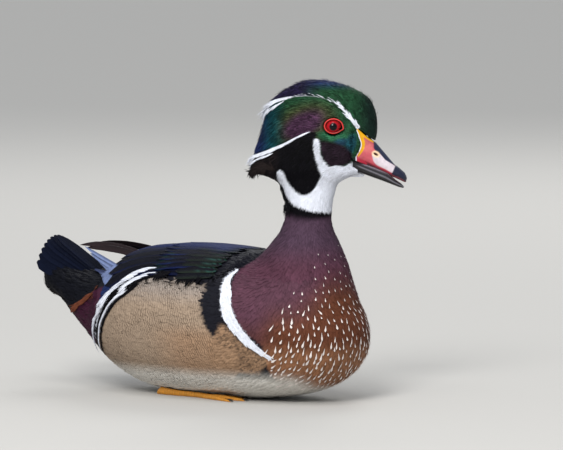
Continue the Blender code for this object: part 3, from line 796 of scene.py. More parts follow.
class Nodes:
    """Short ways to add and join the nodes of one tree."""

    def __init__(self, tree):
        self.tree = tree

    def feed(self, node, values):
        """Joins or sets a node's inputs, by name or number."""
        for name, value in values.items():
            if isinstance(value, bpy.types.NodeSocket):
                self.tree.links.new(value, node.inputs[name])
            else:
                node.inputs[name].default_value = value

    def add(self, kind, values=None, **settings):
        node = self.tree.nodes.new(kind)
        for name, value in settings.items():
            setattr(node, name, value)
        self.feed(node, values or {})
        return node

    def math(self, kind, *values):
        return self.add("ShaderNodeMath", dict(enumerate(values)), operation=kind).outputs[0]

    def mix(self, factor, a, b, blend="MIX"):
        return self.add(
            "ShaderNodeMix", {0: factor, 6: a, 7: b}, data_type="RGBA", blend_type=blend).outputs[2]

    def span(self, value, low, high, to_low=0.0, to_high=1.0):
        values = {"Value": value, "From Min": low, "From Max": high, "To Min": to_low, "To Max": to_high}
        return self.add("ShaderNodeMapRange", values).outputs[0]

    def attribute(self, name):
        return self.add("ShaderNodeAttribute", attribute_name=name).outputs

    def group(self, tree, **values):
        values = {name.replace("_", " "): value for name, value in values.items()}
        return self.add("ShaderNodeGroup", values, node_tree=tree).outputs

    def bump(self, strength, height):
        return self.add(
            "ShaderNodeBump", {"Strength": strength, "Distance": 0.0002, "Height": height}).outputs[0]


PLAIN = (1, 1, 1, 1)


def new_group(name, inputs, outputs):
    """A node group: what it is given, its results and its nodes. Four numbers make a colour's socket."""
    tree = bpy.data.node_groups.new(name, "ShaderNodeTree")
    for word, value in inputs.items():
        kind = "NodeSocketColor" if isinstance(value, tuple) else "NodeSocketFloat"
        tree.interface.new_socket(word, in_out="INPUT", socket_type=kind).default_value = value
    for word in outputs:
        kind = "NodeSocketColor" if word == "Colour" else "NodeSocketFloat"
        tree.interface.new_socket(word, in_out="OUTPUT", socket_type=kind)
    return tree.nodes.new("NodeGroupInput").outputs, tree.nodes.new("NodeGroupOutput"), Nodes(tree)


def barb_group():
    """The slanting barbs of a vane, from its own 'vane' places: darker lines, and a height for its bump."""
    given, made, nodes = new_group(
        "feather_barbs", {"Colour": PLAIN, "Barbs per mm": 3.0, "Depth": 0.25}, ("Colour", "Height"))
    place = nodes.attribute("vane")["Vector"]
    parts = nodes.add("ShaderNodeSeparateXYZ", {"Vector": place}).outputs
    slant = nodes.math("MULTIPLY_ADD", parts["X"], -1.1, parts["Y"])
    waver = nodes.add("ShaderNodeTexNoise", {"Vector": place, "Scale": 1.3, "Detail": 1.0}).outputs[0]
    slant = nodes.math("MULTIPLY_ADD", waver, 0.35, slant)
    turns = nodes.math("MULTIPLY", slant, given["Barbs per mm"])
    wave = nodes.math("SINE", nodes.math("MULTIPLY", turns, math.tau))
    wave = nodes.math("MULTIPLY_ADD", wave, 0.5, 0.5)
    shadow = nodes.mix(1.0, given["Colour"], (0.35, 0.35, 0.38, 1), "MULTIPLY")
    dark = nodes.math("MULTIPLY", wave, given["Depth"])
    nodes.feed(made, {"Colour": nodes.mix(dark, given["Colour"], shadow), "Height": wave})
    return nodes.tree


def fleck_group():
    """The fine dark wavering lines over the buff of the flank."""
    given, made, nodes = new_group(
        "fine_flank_lines",
        {"Colour": PLAIN, "Line Colour": (0.1, 0.08, 0.06, 1), "Lines per metre": 175.0, "Amount": 0.6},
        ("Colour",))
    spot = nodes.add("ShaderNodeTexCoord").outputs["Object"]
    turned = nodes.add("ShaderNodeMapping", {"Vector": spot, "Rotation": (0.0, 0.35, 0.0)}).outputs[0]
    waver = {"Scale": given["Lines per metre"], "Distortion": 7.0, "Detail": 2.0, "Detail Scale": 1.6}
    wave = nodes.add(
        "ShaderNodeTexWave", {"Vector": turned, **waver}, wave_type="BANDS", bands_direction="X").outputs[1]
    patchy = nodes.add("ShaderNodeTexNoise", {"Vector": spot, "Scale": 60.0, "Detail": 2.0}).outputs[0]
    lines = nodes.math("MULTIPLY", nodes.span(wave, 0.55, 0.9), nodes.span(patchy, 0.3, 0.7, 0.35, 1.0))
    amount = nodes.math("MULTIPLY", lines, given["Amount"])
    nodes.feed(made, {"Colour": nodes.mix(amount, given["Colour"], given["Line Colour"])})
    return nodes.tree


def speckle_group():
    """Uneven tone for skin, horn and feathers alike."""
    given, made, nodes = new_group(
        "uneven_tone", {"Colour": PLAIN, "Scale": 300.0, "Amount": 0.3}, ("Colour", "Height"))
    spot = nodes.add("ShaderNodeTexCoord").outputs["Object"]
    grain = {"Vector": spot, "Scale": given["Scale"], "Detail": 4.0, "Roughness": 0.6}
    fine = nodes.add("ShaderNodeTexNoise", grain).outputs[0]
    level = nodes.math("MULTIPLY_ADD", nodes.span(fine, 0.25, 0.75, -1.0, 1.0), given["Amount"], 1.0)
    tone = nodes.add("ShaderNodeCombineColor", {0: level, 1: level, 2: level}).outputs[0]
    nodes.feed(made, {"Colour": nodes.mix(1.0, given["Colour"], tone, "MULTIPLY"), "Height": fine})
    return nodes.tree


BARBS, FLECKS, SPECKLE = barb_group(), fleck_group(), speckle_group()


def start_finish(name, **constants):
    """A new material with its shader; the constants go on the shader's own sockets."""
    finish = bpy.data.materials.new(name)
    finish.use_nodes = True
    nodes = Nodes(finish.node_tree)
    shader = finish.node_tree.nodes["Principled BSDF"]
    for socket, value in constants.items():
        shader.inputs[socket.replace("_", " ")].default_value = value
    return finish, nodes, shader


def feather_finish(
        name, barbs, depth,
        rough=(0.78, 0.4), shine=0.45, uneven=0.12, flecks=0.0, bump=0.25, specular=0.18):
    """Feathers: the painted markings, barbs and a gloss that follows the markings."""
    finish, nodes, shader = start_finish(name, Specular_IOR_Level=specular)
    gloss = nodes.attribute("gloss")["Fac"]
    colour = nodes.group(
        SPECKLE, Colour=nodes.attribute("coat")["Color"], Scale=260.0, Amount=uneven)["Colour"]
    if flecks:
        amount = nodes.math("MULTIPLY", nodes.attribute("flank")["Fac"], flecks)
        colour = nodes.group(
            FLECKS, Colour=colour, Line_Colour=(*shade(78, 62, 50), 1), Amount=amount)["Colour"]
    vane = nodes.group(BARBS, Colour=colour, Barbs_per_mm=barbs, Depth=depth)
    nodes.feed(shader, {
        "Base Color": vane["Colour"], "Roughness": nodes.span(gloss, 0, 1, *rough),
        "Metallic": nodes.math("MULTIPLY", gloss, shine), "Normal": nodes.bump(bump, vane["Height"])})
    return finish


# Skin and coat

HEAD_FINISH = feather_finish(
    "head_feathers", barbs=3.4, depth=0.35, rough=(0.8, 0.34), shine=0.6, uneven=0.22, specular=0.12)
NECK_FINISH = feather_finish("neck_feathers", barbs=3.0, depth=0.2, specular=0.08)
BREAST_FINISH = feather_finish("breast_feathers", barbs=2.6, depth=0.25)
FLANK_FINISH = feather_finish("body_feathers", barbs=2.2, depth=0.12, flecks=0.8, bump=0.12)
RUMP_FINISH = feather_finish("rump_feathers", barbs=2.0, depth=0.3, specular=0.06)
WING_FINISH = feather_finish(
    "wing_feathers", barbs=1.5, depth=0.25, rough=(0.8, 0.5), shine=0.12, uneven=0.15, bump=0.3,
    specular=0.05)
TIP_FINISH = feather_finish(
    "wingtip_feathers", barbs=1.5, depth=0.2, rough=(0.75, 0.5), shine=0.1, uneven=0.12, specular=0.12)
TAIL_FINISH = feather_finish(
    "tail_feathers", barbs=1.4, depth=0.3, rough=(0.9, 0.7), shine=0.05, uneven=0.15, specular=0.03)
SKIN_FINISH = feather_finish(
    "skin_under_feathers", barbs=0.0, depth=0.0, shine=0.2, rough=(0.85, 0.6), bump=0.0)

skin = make_skin()
plan_skin(skin)
dress(skin, SKIN_FINISH, "body_feathers", *FLESH)
SKIN_TREE = mesh_tree(skin.data)
skin_corners, skin_loops = triangles(skin.data)
SKIN_CORNERS = read_mesh(skin.data)[0][skin_corners]
SKIN_PLAN = values_of(skin.data.uv_layers["plan"].uv, "vector", 2)[skin_loops]


def plan_at(places):
    """Where places come on the skin's plan, each by the skin's place nearest to it."""
    found = [SKIN_TREE.find_nearest(place) for place in places.tolist()]
    spots, picked = hit_rows(found)[0], np.array([hit[2] for hit in found])
    a, b, c = np.moveaxis(SKIN_CORNERS[picked], 1, 0)
    whole = np.cross(b - a, c - a)
    size = np.maximum((whole * whole).sum(1), 1e-12)
    share_b = (np.cross(spots - a, c - a) * whole).sum(1) / size
    share_c = (np.cross(b - a, spots - a) * whole).sum(1) / size
    share = np.clip(np.stack([1 - share_b - share_c, share_b, share_c], 1), 0, 1)[:, :, None]
    return (SKIN_PLAN[picked] * share).sum(1)


HARD_NODES = ("bill_upper", "bill_lower", "eye_left", "eye_right", "eyelid_left", "eyelid_right")
LEG_NODES = ("leg_left", "leg_right", "foot_left", "foot_right")
HARD_TREE, LEG_TREE = (
    tree_of([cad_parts[name].data for name in names]) for names in (HARD_NODES, LEG_NODES))

roots, ups = sow(skin.data, lambda places: sizes(places)[0] * COAT_THIN)
forward, left, up = head_place(roots)
in_eye = (np.hypot((forward - 0.4) / 7.4, up / 6.1) < 1) & (np.abs(left) > 6)
pressed = (roots[:, 2] < 1.5) & (ups[:, 2] < -0.95) & (rng.random(len(roots)) < 0.5)
keep = ~in_eye & ~blocked(HARD_TREE, roots, ups, 3.5) & ~blocked(LEG_TREE, roots, ups, 8) & ~pressed
keep &= (wing_cover(roots) < 0.4) | ((roots[:, 0] > -112) & (roots[:, 2] > 100))
roots, ups = roots[keep], ups[keep]
_, length, half, lift = sizes(roots)
count = len(roots)
length = length * rng.uniform(0.85, 1.2, count) * COAT_THIN**0.5
half = half * rng.uniform(0.85, 1.15, count) * COAT_THIN
lift = lift * rng.uniform(0.6, 1.15, count)
lift[(rng.random(count) < 0.14) & (roots[:, 2] > 190)] *= 2.0
turn = rng.normal(0, 0.13, count)
forward, left, up = head_place(roots)
x, y, z = roots.T

high = z > 133
# which places, slot, finish, ridge, how far a vane's colours follow its own places,
# spread of its lightness, painted shade at its root, softness of its shading
zones = {
    "face_feathers": (
        high & (forward > -8) & (up > -40), "head_feathers", HEAD_FINISH, 0.25, 0.6, 0.3, 0.4, 0.5),
    "crown_feathers": (
        high & (forward <= -8) & (forward > -36) & (up > -30), "head_feathers", HEAD_FINISH, 0.25, 0.5,
        0.32, 0.45, 0.5),
    "crest_feathers": (
        high & (forward <= -36) & (up > -38), "head_feathers", HEAD_FINISH, 0.25, 0.5, 0.32, 0.45, 0.5),
    "throat_feathers": (high & (up <= -30), "neck_feathers", NECK_FINISH, 0.12, 0.85, 0.02, 0.04, 0.75),
    "neck_feathers": (
        (z > 96) & ~((x < -36) & (z < 118)), "neck_feathers", NECK_FINISH, 0.1, 0.8, 0.08, 0.15, 0.7),
    "rump_feathers": (x < -160, "rump_feathers", RUMP_FINISH, 0.15, 0.7, 0.12, 0.25, 0.6),
    "breast_feathers": (x > -34, "breast_feathers", BREAST_FINISH, 0.06, 0.9, 0.08, 0.12, 0.75),
    "belly_feathers": (z < 24, "body_feathers", FLANK_FINISH, 0.05, 0.8, 0.04, 0.06, 0.8),
    "flank_feathers": (z > 0, "body_feathers", FLANK_FINISH, 0.04, 0.9, 0.035, 0.05, 0.88),
}
taken = np.zeros(count, bool)
for name, (mask, slot, finish, ridge, spread, shades, depth, soft) in zones.items():
    mask = mask & ~taken
    taken |= mask
    points, over = grow_vanes(
        SKIN_TREE, roots[mask], ups[mask], length[mask], half[mask], lift[mask], turn=turn[mask],
        ridge=ridge)
    # whole feathers make the flank's upper edge
    edged = (z[mask] > 74) & (x[mask] < -40) & (x[mask] > -140)
    colours, gloss = vane_colours(points, np.where(edged, 0.1, spread)[:, None, None, None], shades, depth)
    piece = vane_piece(name, slot, finish, points, over, colours, gloss, soft)
    spots = points.reshape(-1, 3)
    flank = within(spots[:, 0], spots[:, 2], FLANK, 2) if "body" in slot else np.zeros(len(spots))
    set_values(piece.data, "flank", "FLOAT", "value", flank)

crown_tufts = (rng.random(count) < 0.16) & (roots[:, 2] > 212) & (forward > -38)
points, over = grow_vanes(
    SKIN_TREE, roots[crown_tufts], ups[crown_tufts], length[crown_tufts] * 1.2, half[crown_tufts] * 0.7,
    rng.uniform(1.2, 2.3, crown_tufts.sum()), turn=2 * turn[crown_tufts], ridge=0.25, stiff=0.4)
vane_piece(
    "crown_tufts", "head_feathers", HEAD_FINISH, points, over, *vane_colours(points, 0.5, 0.3, 0.45), 0.5)

# Locks along the white lines


def on_head(forward, up, side):
    """The skin's place and normal at a side-view place of the head; past its outline, the nearest."""
    far = from_head(forward, side * OUTSIDE * np.ones(len(forward)), up)
    close = from_head(forward, side * 5.0 * np.ones(len(forward)), up)
    way = (SIN * side, -COS * side, 0.0)
    found = []
    for start, beyond in zip(far.tolist(), close.tolist()):
        hit = SKIN_TREE.ray_cast(start, way)
        found.append(hit if hit[0] is not None else SKIN_TREE.find_nearest(beyond))
    return *hit_rows(found), np.ones(len(found), bool)


def on_flank(x, z, side):
    hits = [SKIN_TREE.ray_cast((a, side * 120.0, b), (0.0, -side, 0.0)) for a, b in zip(x, z)]
    good = np.array([hit[0] is not None for hit in hits])
    return *hit_rows([hit for hit in hits if hit[0] is not None]), good


def along_line(line, is_head):
    """A heading that follows a line of the markings instead of the lie."""

    def way(places, normals):
        if is_head:
            forward, _, up = head_place(places)
            _, _, dx, dy = beside(forward, up, line)
            heading = np.stack([dx * COS, dx * SIN, dy], -1)
        else:
            _, _, dx, dy = beside(places[:, 0], places[:, 2], line)
            heading = np.stack([dx, dx * 0, dy], -1)
        return unit(heading - normals * dot(heading, normals))

    return way


def line_locks(
        is_head, side, line, widths, number, length, half, lift,
        stray=0.0, grown=0.0, leave=0.0, turned=0.0, stiff=0.0):
    """Narrow vanes that build up one white line from its start to its end."""
    share = np.sort(rng.random(number))
    steps = np.hypot(*np.diff(line, axis=0).T)
    reach = np.concatenate([[0], np.cumsum(steps)]) / steps.sum()
    a, b = np.interp(share, reach, line[:, 0]), np.interp(share, reach, line[:, 1])
    room = np.interp(share, np.linspace(0, 1, len(widths)), widths) - 1.4 * half
    off = rng.uniform(-0.5, 0.5, number) * np.maximum(room, 0.1)
    _, _, dx, dy = beside(a, b, line)
    a, b = a - dy * off, b + dx * off
    places, normals, good = (on_head if is_head else on_flank)(a, b, side)
    size = len(places)
    long = length * rng.uniform(0.75, 1.2, size) * (1 + grown * share[good])
    halves = half * rng.uniform(0.8, 1.2, size)
    lifts = lift * rng.uniform(0.9, 1.1, size)
    turn = rng.normal(-side * turned, stray, size)
    return grow_vanes(
        SKIN_TREE, places, normals, long, halves, lifts, turn, rows=5 if is_head else 8,
        way=along_line(line, is_head), sink=-0.6 * lift, leave=leave, stiff=stiff)


def plain_colours(points, colour):
    """One colour, more even where it is pale."""
    shades = 0.06 if colour.mean() > 0.3 else 0.2
    own = np.clip(1 + shades * rng.standard_normal((len(points), 1, 1, 1)), 0.6, 1.3)
    return colour * own * np.ones(points.shape), np.full(points.shape[:3], LOCK_GLOSS)


def joined(parts):
    """The rows of several parts, each kind as one array."""
    return [np.concatenate(rows) for rows in zip(*parts)]


def line_piece(name, slot, finish, lines, is_head, soft=0.7):
    """One joined mesh of locks along lines, on both sides."""
    parts = []
    for colour, *row in lines:
        for side in (-1, 1):
            points, over = line_locks(is_head, side, *row)
            parts.append((points, over, *plain_colours(points, colour)))
    return vane_piece(name, slot, finish, *joined(parts), soft)


CREST_UNDER = curve([(-43, -33), (-47, -30), (-52, -29.5), (-57, -31), (-61, -35)])
NAPE = curve([(-40, -44), (-37, -50), (-34, -56), (-32, -62)])
NOTCH_FRONT = curve([(-56, 93), (-63, 91.5), (-70, 90.5), (-76, 91.5)])
NOTCH_REAR = curve([(-91, 94), (-95, 93), (-100, 92)])
DARK_BROWN = shade(30, 23, 22)
# colour, line, widths along it, number, length, half width, lift, stray, growth along it,
# step once free of the skin, turn, stiffness
line_piece("white_head_lines", "head_feathers", HEAD_FINISH, (
    (WHITE, BROW[:13], (2.7, 2.0, 1.3, 0.6), 100, 4.8, 0.28, 0.75, 0.15, 0.4),
    (WHITE, BROW[11:29], (1.4, 2.2, 2.2, 1.2), 17, 5.0, 0.15, 0.85, 0.08, 0.0, 0.0, -0.22),
    (WHITE, BROW[29:], (0.5, 1.5, 2.0, 2.2, 2.2, 1.4), 80, 9.0, 0.32, 1.0, 0.07, 0.4, 1.0, 0.0, 0.45),
    (WHITE, BROW[-6:], (2.2, 1.6), 26, 13.0, 0.3, 1.2, 0.1, 0.0, 1.0, 0.0, 0.85),
    (WHITE, BROW_STRAND[:-6], (0.6, 1.4, 1.6, 1.2), 40, 7.5, 0.28, 1.3, 0.09, 0.2, 1.0, 0.0, 0.75),
    (WHITE, CREST_LINE[-4:], (1.2, 1.0), 10, 9.0, 0.26, 1.2, 0.06, 0.0, 1.0, 0.0, 0.85),
    (WHITE, CREST_LINE, (0.3, 1.0, 1.5, 2.1, 1.5, 0.8), 170, 7.0, 0.32, 0.9, 0.04, 0.5, 1.0, 0.0, 0.3),
    (WHITE, CREST_STRAND[:-5], (0.5, 1.0, 1.0, 0.8), 34, 7.5, 0.28, 1.3, 0.06, 0.0, 1.0, 0.0, 0.8),
    (DARK_BROWN, CREST_UNDER, (2.5, 3.5, 4.5, 4.5), 110, 7.5, 0.36, 1.4, 0.4, 0.0, 0.9, 0.25, 0.7),
    (BLACK * 1.5, NAPE, (3.0, 4.0, 5.0, 5.0), 110, 6.0, 0.34, 2.2, 0.4, 0.0, 0.9, -0.3, 0.7),
), True)
line_piece("flank_stripes", "body_feathers", NECK_FINISH, (
    (BLACK, STRIPE_LOWER + np.array([1.4, -2.4]), (0.8, 1.8, 2.0, 1.8, 1.8, 1.5), 110, 18, 0.9, 1.9),
    (BLACK, STRIPE_LOWER[:-3] + np.array([-2.2, 2.0]), (0.8, 2, 2.2, 2.2, 2, 1.5), 110, 18, 1.0, 2.0),
    (WHITE, STRIPE_LOWER, (0.3, 1.6, 2.1, 1.9, 1.7, 1.5, 1.4, 1.0), 120, 16, 0.6, 2.5),
    (
        WHITE, STRIPE_UPPER + np.array([0, 0.5]), (0.3, 1.8, 2.2, 2.2, 1.9, 1.7, 1.4, 1.0), 140, 16, 0.65,
        3.5),
    (BLACK * 1.2, NOTCH_FRONT, (3, 4, 3), 90, 8, 0.9, 2.5, 0.3, 0.0, 0.0, 0.9),
    (BLACK * 1.2, NOTCH_REAR, (2, 3, 2), 70, 8, 0.9, 2.9, 0.25, 0.0, 0.0, 1.1),
), False, 0.8)

# White bar and marks of the breast

line_piece("breast_bar_feathers", "breast_feathers", NECK_FINISH, (
    (WHITE, BREAST_BAR, (1.2, 5.2, 7.8, 8.4, 8.2, 7.8, 7.0, 5.8, 4.2, 2.4), 620, 7.5, 0.6, 1.5, 0.06),
), False, 0.8)

spots, ups = sow(skin.data, lambda places: 3.7 + 0.03 * np.maximum(places[:, 2] - 40, 0), 5)
x, y, z = spots.T
rear = np.interp(z, (0, 30, 45, 64, 79, 93, 106, 120), (-2, 0, 3, 8, 10, 14, 18, 23))
shown = (x > rear + rng.normal(0, 2.5, len(x))) & (z < 122) & (z > 12)
spots, ups, z = spots[shown], ups[shown], z[shown]
big = ease(z, 118, 52)
length = 1.2 + 2.9 * big * rng.uniform(0.3, 1.7, len(z))
half = 0.3 + 0.5 * big * rng.uniform(0.35, 1.4, len(z))
turn = rng.normal(0, 0.2, len(z))
points, over = grow_vanes(
    SKIN_TREE, spots, ups, length, half, 1.35 + 0.3 * big, rows=5, turn=turn, widths=MARK_WIDTHS, sink=-1.1,
    ridge=0.1)
vane_piece(
    "breast_marks", "breast_feathers", NECK_FINISH, points, over,
    *plain_colours(points, shade(226, 216, 210)))

# Wings and tail

AXIS_HEIGHT = 54.0
QUILL_ROWS = 13
QUILL_RING = (
    (1, 0), (0.67, 0.5), (0.33, 0.85), (0.06, 1.0), (0, 1.25), (-0.06, 1.0), (-0.33, 0.85), (-0.67, 0.5),
    (-1, 0), (-0.6, 0.1), (0, 0.4), (0.6, 0.1))
ROUND_TIP = ((0, 0.3), (0.12, 0.7), (0.45, 1), (0.8, 0.95), (0.92, 0.72), (0.97, 0.45), (1, 0.12))
POINTED_TIP = ((0, 0.4), (0.2, 0.9), (0.5, 1), (0.75, 0.8), (0.9, 0.45), (1, 0.08))


def round_body(x, angle, side):
    """The outermost skin at a station along the body and an angle up from the side."""
    out = np.stack([np.zeros_like(x), side * np.cos(angle), np.sin(angle)], -1)
    start = np.stack([x, np.zeros_like(x), np.full_like(x, AXIS_HEIGHT)], -1) + out * 200
    hits = []
    for place, way in zip(start.tolist(), (-out).tolist()):
        hit = SKIN_TREE.ray_cast(place, way)
        beyond = Vector(place) + Vector(way) * 155
        hits.append(hit if hit[0] is not None else SKIN_TREE.find_nearest(beyond))
    return hit_rows(hits)


def quills(specs, rows, widths, side):
    """Long feathers laid over the body.

    Each row of specs: start x, start angle, end x, end angle, bow, half width, lift at root and at tip.
    """
    specs = np.array(specs, float)
    share = np.linspace(0, 1, rows)
    x = specs[:, :1] + (specs[:, 2:3] - specs[:, :1]) * share
    bow = specs[:, 4:5] * 4 * share * (1 - share)
    angle = np.radians(specs[:, 1:2] + (specs[:, 3:4] - specs[:, 1:2]) * share + bow)
    centres, normals = round_body(x.ravel(), angle.ravel(), side)
    centres = centres.reshape(*x.shape, 3)
    normals = normals.reshape(*x.shape, 3)
    for _ in range(4):
        normals[:, 1:-1] = unit(normals[:, :-2] + normals[:, 1:-1] * 2 + normals[:, 2:])
        centres[:, 1:-1] = (centres[:, :-2] + centres[:, 1:-1] * 2 + centres[:, 2:]) / 4
    shape = np.interp(share, *np.array(widths).T)
    half = specs[:, 5:6] * shape
    heights = specs[:, 6:7] + (specs[:, 7:8] - specs[:, 6:7]) * share
    points = vane_points(centres, normals, half, heights, QUILL_RING, 0.1, SKIN_TREE)
    across = np.array([a for a, _ in QUILL_RING])
    tilt = -side * 0.55 * across[None, None, :, None] * normals[:, :, None]
    return points + tilt, normals


def quill_colours(points, inner, edge, tip, side, edge_from, edge_both, tip_from, gloss=0.8):
    """A long feather's colours: its inner web, its lower edge and its tip."""
    count, rows, ring, _ = points.shape
    across = np.array([a for a, _ in QUILL_RING]) * -side
    across = np.abs(across) if edge_both else across
    share = np.linspace(0, 1, rows)
    colours = np.tile(inner, (count, rows, ring, 1))
    mask = ease(across, edge_from - 0.15, edge_from + 0.15)[:, None]
    colours = colours + mask * (edge - colours)
    mask = ease(share, tip_from - 0.08, min(tip_from + 0.12, 1.01))[:, None, None]
    colours = colours + mask * (tip - colours)
    own = np.clip(1 + 0.12 * rng.standard_normal((count, 1, 1, 1)), 0.7, 1.3)
    return colours * own, np.full((count, rows, ring), gloss)


NIGHT = shade(8, 9, 20)
NIGHT_BLUE = shade(26, 38, 84)
SILVER_BLUE = shade(112, 126, 164)
SPECULUM = shade(28, 42, 84)
DUSK_BROWN = shade(32, 22, 24)
BRONZE_GREEN = shade(34, 42, 34)
TEAL_GLINT = shade(46, 84, 74)
SHEEN_BLUE = shade(16, 31, 80)


def row_of(number, first, last):
    """Evenly changing rows of quill sizes, each with a little of its own."""
    first, last = np.array(first, float), np.array(last, float)
    share = np.linspace(0, 1, number)[:, None]
    made = first + (last - first) * share
    made[:, [0, 2]] += rng.normal(0, 1.0, (number, 2))
    made[:, [1, 3]] += rng.normal(0, 0.7, (number, 2))
    return made


def make_wing_feathers(side, word):
    layers = (
        # number, first, last, widths, inner, edge, tip, edge_from, both, tip_from
        (7, (-140, 27, -171, 46, -3, 5.5, 0.8, 1.6), (-146, 58, -206, 78, -2, 5.5, 1.0, 2.2),
         ROUND_TIP, DUSK_BROWN, SILVER_BLUE, DUSK_BROWN, -0.35, False, 0.95),
        (4, (-138, 24, -161, 17, 2, 4.0, 1.0, 1.8), (-136, 33, -160, 26, 2, 4.5, 1.1, 2.0),
         ROUND_TIP, NIGHT, SPECULUM, SPECULUM, -0.2, False, 0.7),
        (5, (-112, 36, -150, 27, 3, 5.0, 1.0, 1.7), (-110, 46, -150, 36, 3, 6.0, 1.1, 1.9),
         ROUND_TIP, NIGHT, NIGHT * 1.4, NIGHT, 0.3, False, 0.95),
        (9, (-62, 40, -116, 38, 2, 6.0, 0.8, 1.8), (-66, 62, -118, 64, 2, 6.5, 0.8, 2.0),
         ROUND_TIP, NIGHT, NIGHT_BLUE * 0.3, NIGHT, 0.6, False, 0.9),
        (5, (-92, 43, -157, 29, 8, 10.5, 1.4, 2.3), (-84, 80, -170, 80, 2, 9.0, 2.0, 2.8),
         ROUND_TIP, NIGHT, NIGHT_BLUE * 0.5, NIGHT * 0.8, 0.84, False, 0.97),
        (9, (-50, 38, -84, 35, 3, 6.0, 1.6, 2.4), (-54, 82, -104, 84, 2, 7.0, 1.8, 2.7),
         ROUND_TIP, SOOT * 0.7, BRONZE_GREEN, SOOT * 0.6, 0.7, True, 0.95),
        (8, (-70, 46, -112, 38, 5, 6.5, 2.0, 2.8), (-74, 78, -124, 82, 2, 7.5, 2.2, 3.0),
         POINTED_TIP, NIGHT, NIGHT_BLUE * 0.8, NIGHT, 0.75, False, 0.97),
    )
    parts = []
    for number, first, last, widths, inner, edge, tip, edge_from, both, tip_from in layers:
        points, over = quills(row_of(number, first, last), QUILL_ROWS, widths, side)
        painted = quill_colours(points, inner, edge, tip, side, edge_from, both, tip_from)
        parts.append((points, over, *painted))
    points, ups, colours, gloss = joined(parts)
    flat = colours.reshape(-1, 3)
    x, y, z = points.reshape(-1, 3).T
    # painted light: a blue sheen painted along the back, where the wing's top reflects the sky, and bronze
    # and teal glints painted on the shoulder
    sheen = ease(np.abs(y) + 1.5 * np.sin(x * 0.21), 27, 11) * ease(x, -48, -70) * 0.85
    glint = ease(np.sin(z * 2.3 + 1.5 * np.sin(x * 0.17) + 0.12 * x), 0.55, 1)
    glint *= ease(np.sin(x * 0.1 + 0.6), -0.4, 0.8)
    glint *= ease(np.abs(y), 26, 32) * ease(z, 93, 97) * ease(x, -116, -96) * 0.75
    paint(flat, (sheen, SHEEN_BLUE), (glint, TEAL_GLINT))
    vane_piece(
        f"wing_feathers_{word}", "wing_feathers", WING_FINISH, points, ups, colours, gloss,
        0.6, QUILL_PATCH, (f"wing_{word}",))


def make_wingtip_feathers(side, word):
    """The longest flight feathers, free of the rump: dark over the back, silvery along the tail's root."""
    blades = (
        # the line of each: forward, out and up at its root, middle and tip; half width; silvery or dark
        ((-148, 13, 101.5), (-187, 10, 106.8), (-221, 6, 105.4), 3.2, False),
        ((-148, 18, 101), (-183, 13, 105.0), (-212, 9, 104.0), 3.2, False),
        ((-152, 31, 91), (-186, 20, 98.6), (-212, 11, 105.4), 1.5, True),
        ((-152, 35, 88), (-183, 22, 95.6), (-204, 14, 101), 1.9, True),
        ((-152, 38, 82), (-176, 25, 92.6), (-194, 18, 97.4), 2.8, True),
    )
    share = np.linspace(0, 1, QUILL_ROWS)[:, None]
    parts = []
    for index, (root, middle, tip, half, silvery) in enumerate(blades):
        a, b, c = (np.array([x, side * y, z]) for x, y, z in (root, middle, tip))
        centres = (1 - share) * (1 - 2 * share) * a + 4 * share * (1 - share) * b
        centres = centres + share * (2 * share - 1) * c
        lean = math.radians(58 if silvery else 48)
        normals = np.tile(np.array([0, side * math.sin(lean), math.cos(lean)]), (1, QUILL_ROWS, 1))
        width = half * np.interp(share.T, *np.array(POINTED_TIP).T)
        heights = np.full((1, QUILL_ROWS), 1.2 - 0.3 * index)
        points = vane_points(centres[None], normals, width, heights, QUILL_RING, 0.1)
        edge = SILVER_BLUE if silvery else DUSK_BROWN * 1.3
        inner = SILVER_BLUE * 0.55 if silvery else DUSK_BROWN
        painted = quill_colours(points, inner, edge, edge * 0.8, side, 0.0, False, 0.9, 0.3)
        parts.append((points, normals, *painted))
    vane_piece(
        f"wingtip_feathers_{word}", "wingtip_feathers", TIP_FINISH, *joined(parts),
        0.5, QUILL_PATCH, (f"wingtip_{word}",))


TAIL_ROOT = (-182.0, 72.0)
TAIL_PITCH = math.radians(29)
TAIL_ARCH = 0.017
TAIL_NUMBER = 14


def tail_place(along, aside, over):
    """A place of the cocked tail: out along it, aside and over its sheet, whose edges droop."""
    over = over - TAIL_ARCH * aside * aside
    x = TAIL_ROOT[0] - along * math.cos(TAIL_PITCH) + over * math.sin(TAIL_PITCH)
    z = TAIL_ROOT[1] + along * math.sin(TAIL_PITCH) + over * math.cos(TAIL_PITCH)
    return np.stack([x, aside + 0 * x, z], -1)


def make_tail_feathers():
    share = np.linspace(0, 1, 15)
    place = np.linspace(-1, 1, TAIL_NUMBER)[:, None]
    along = 6 + (80.5 - 13 * place**2 - 6) * share
    aside = place * (8 + 19 * share**0.9)
    stack = 1.9 * (1 - np.abs(place)) - 0.4
    centres = tail_place(along, aside, stack * np.ones_like(along))
    slope = -2 * TAIL_ARCH * aside
    normals = unit(np.stack(
        [np.full_like(aside, math.sin(TAIL_PITCH)), -slope, np.full_like(aside, math.cos(TAIL_PITCH))], -1))
    half = 9.0 * np.interp(share, *np.array(ROUND_TIP).T) * np.ones_like(along)
    points = vane_points(centres, normals, half, 0.0 * along, QUILL_RING, 0.08)
    colours, gloss = quill_colours(
        points, TAIL_NAVY, TAIL_NAVY * 1.15, TAIL_NAVY * 1.1, 1, 0.7, True, 0.9, 0.2)
    vane_piece(
        "tail_feathers", "tail_feathers", TAIL_FINISH, points, normals, colours, gloss,
        0.85, QUILL_PATCH, ("tail",))


for side, word in SIDES:
    make_wing_feathers(side, word)
    make_wingtip_feathers(side, word)
make_tail_feathers()

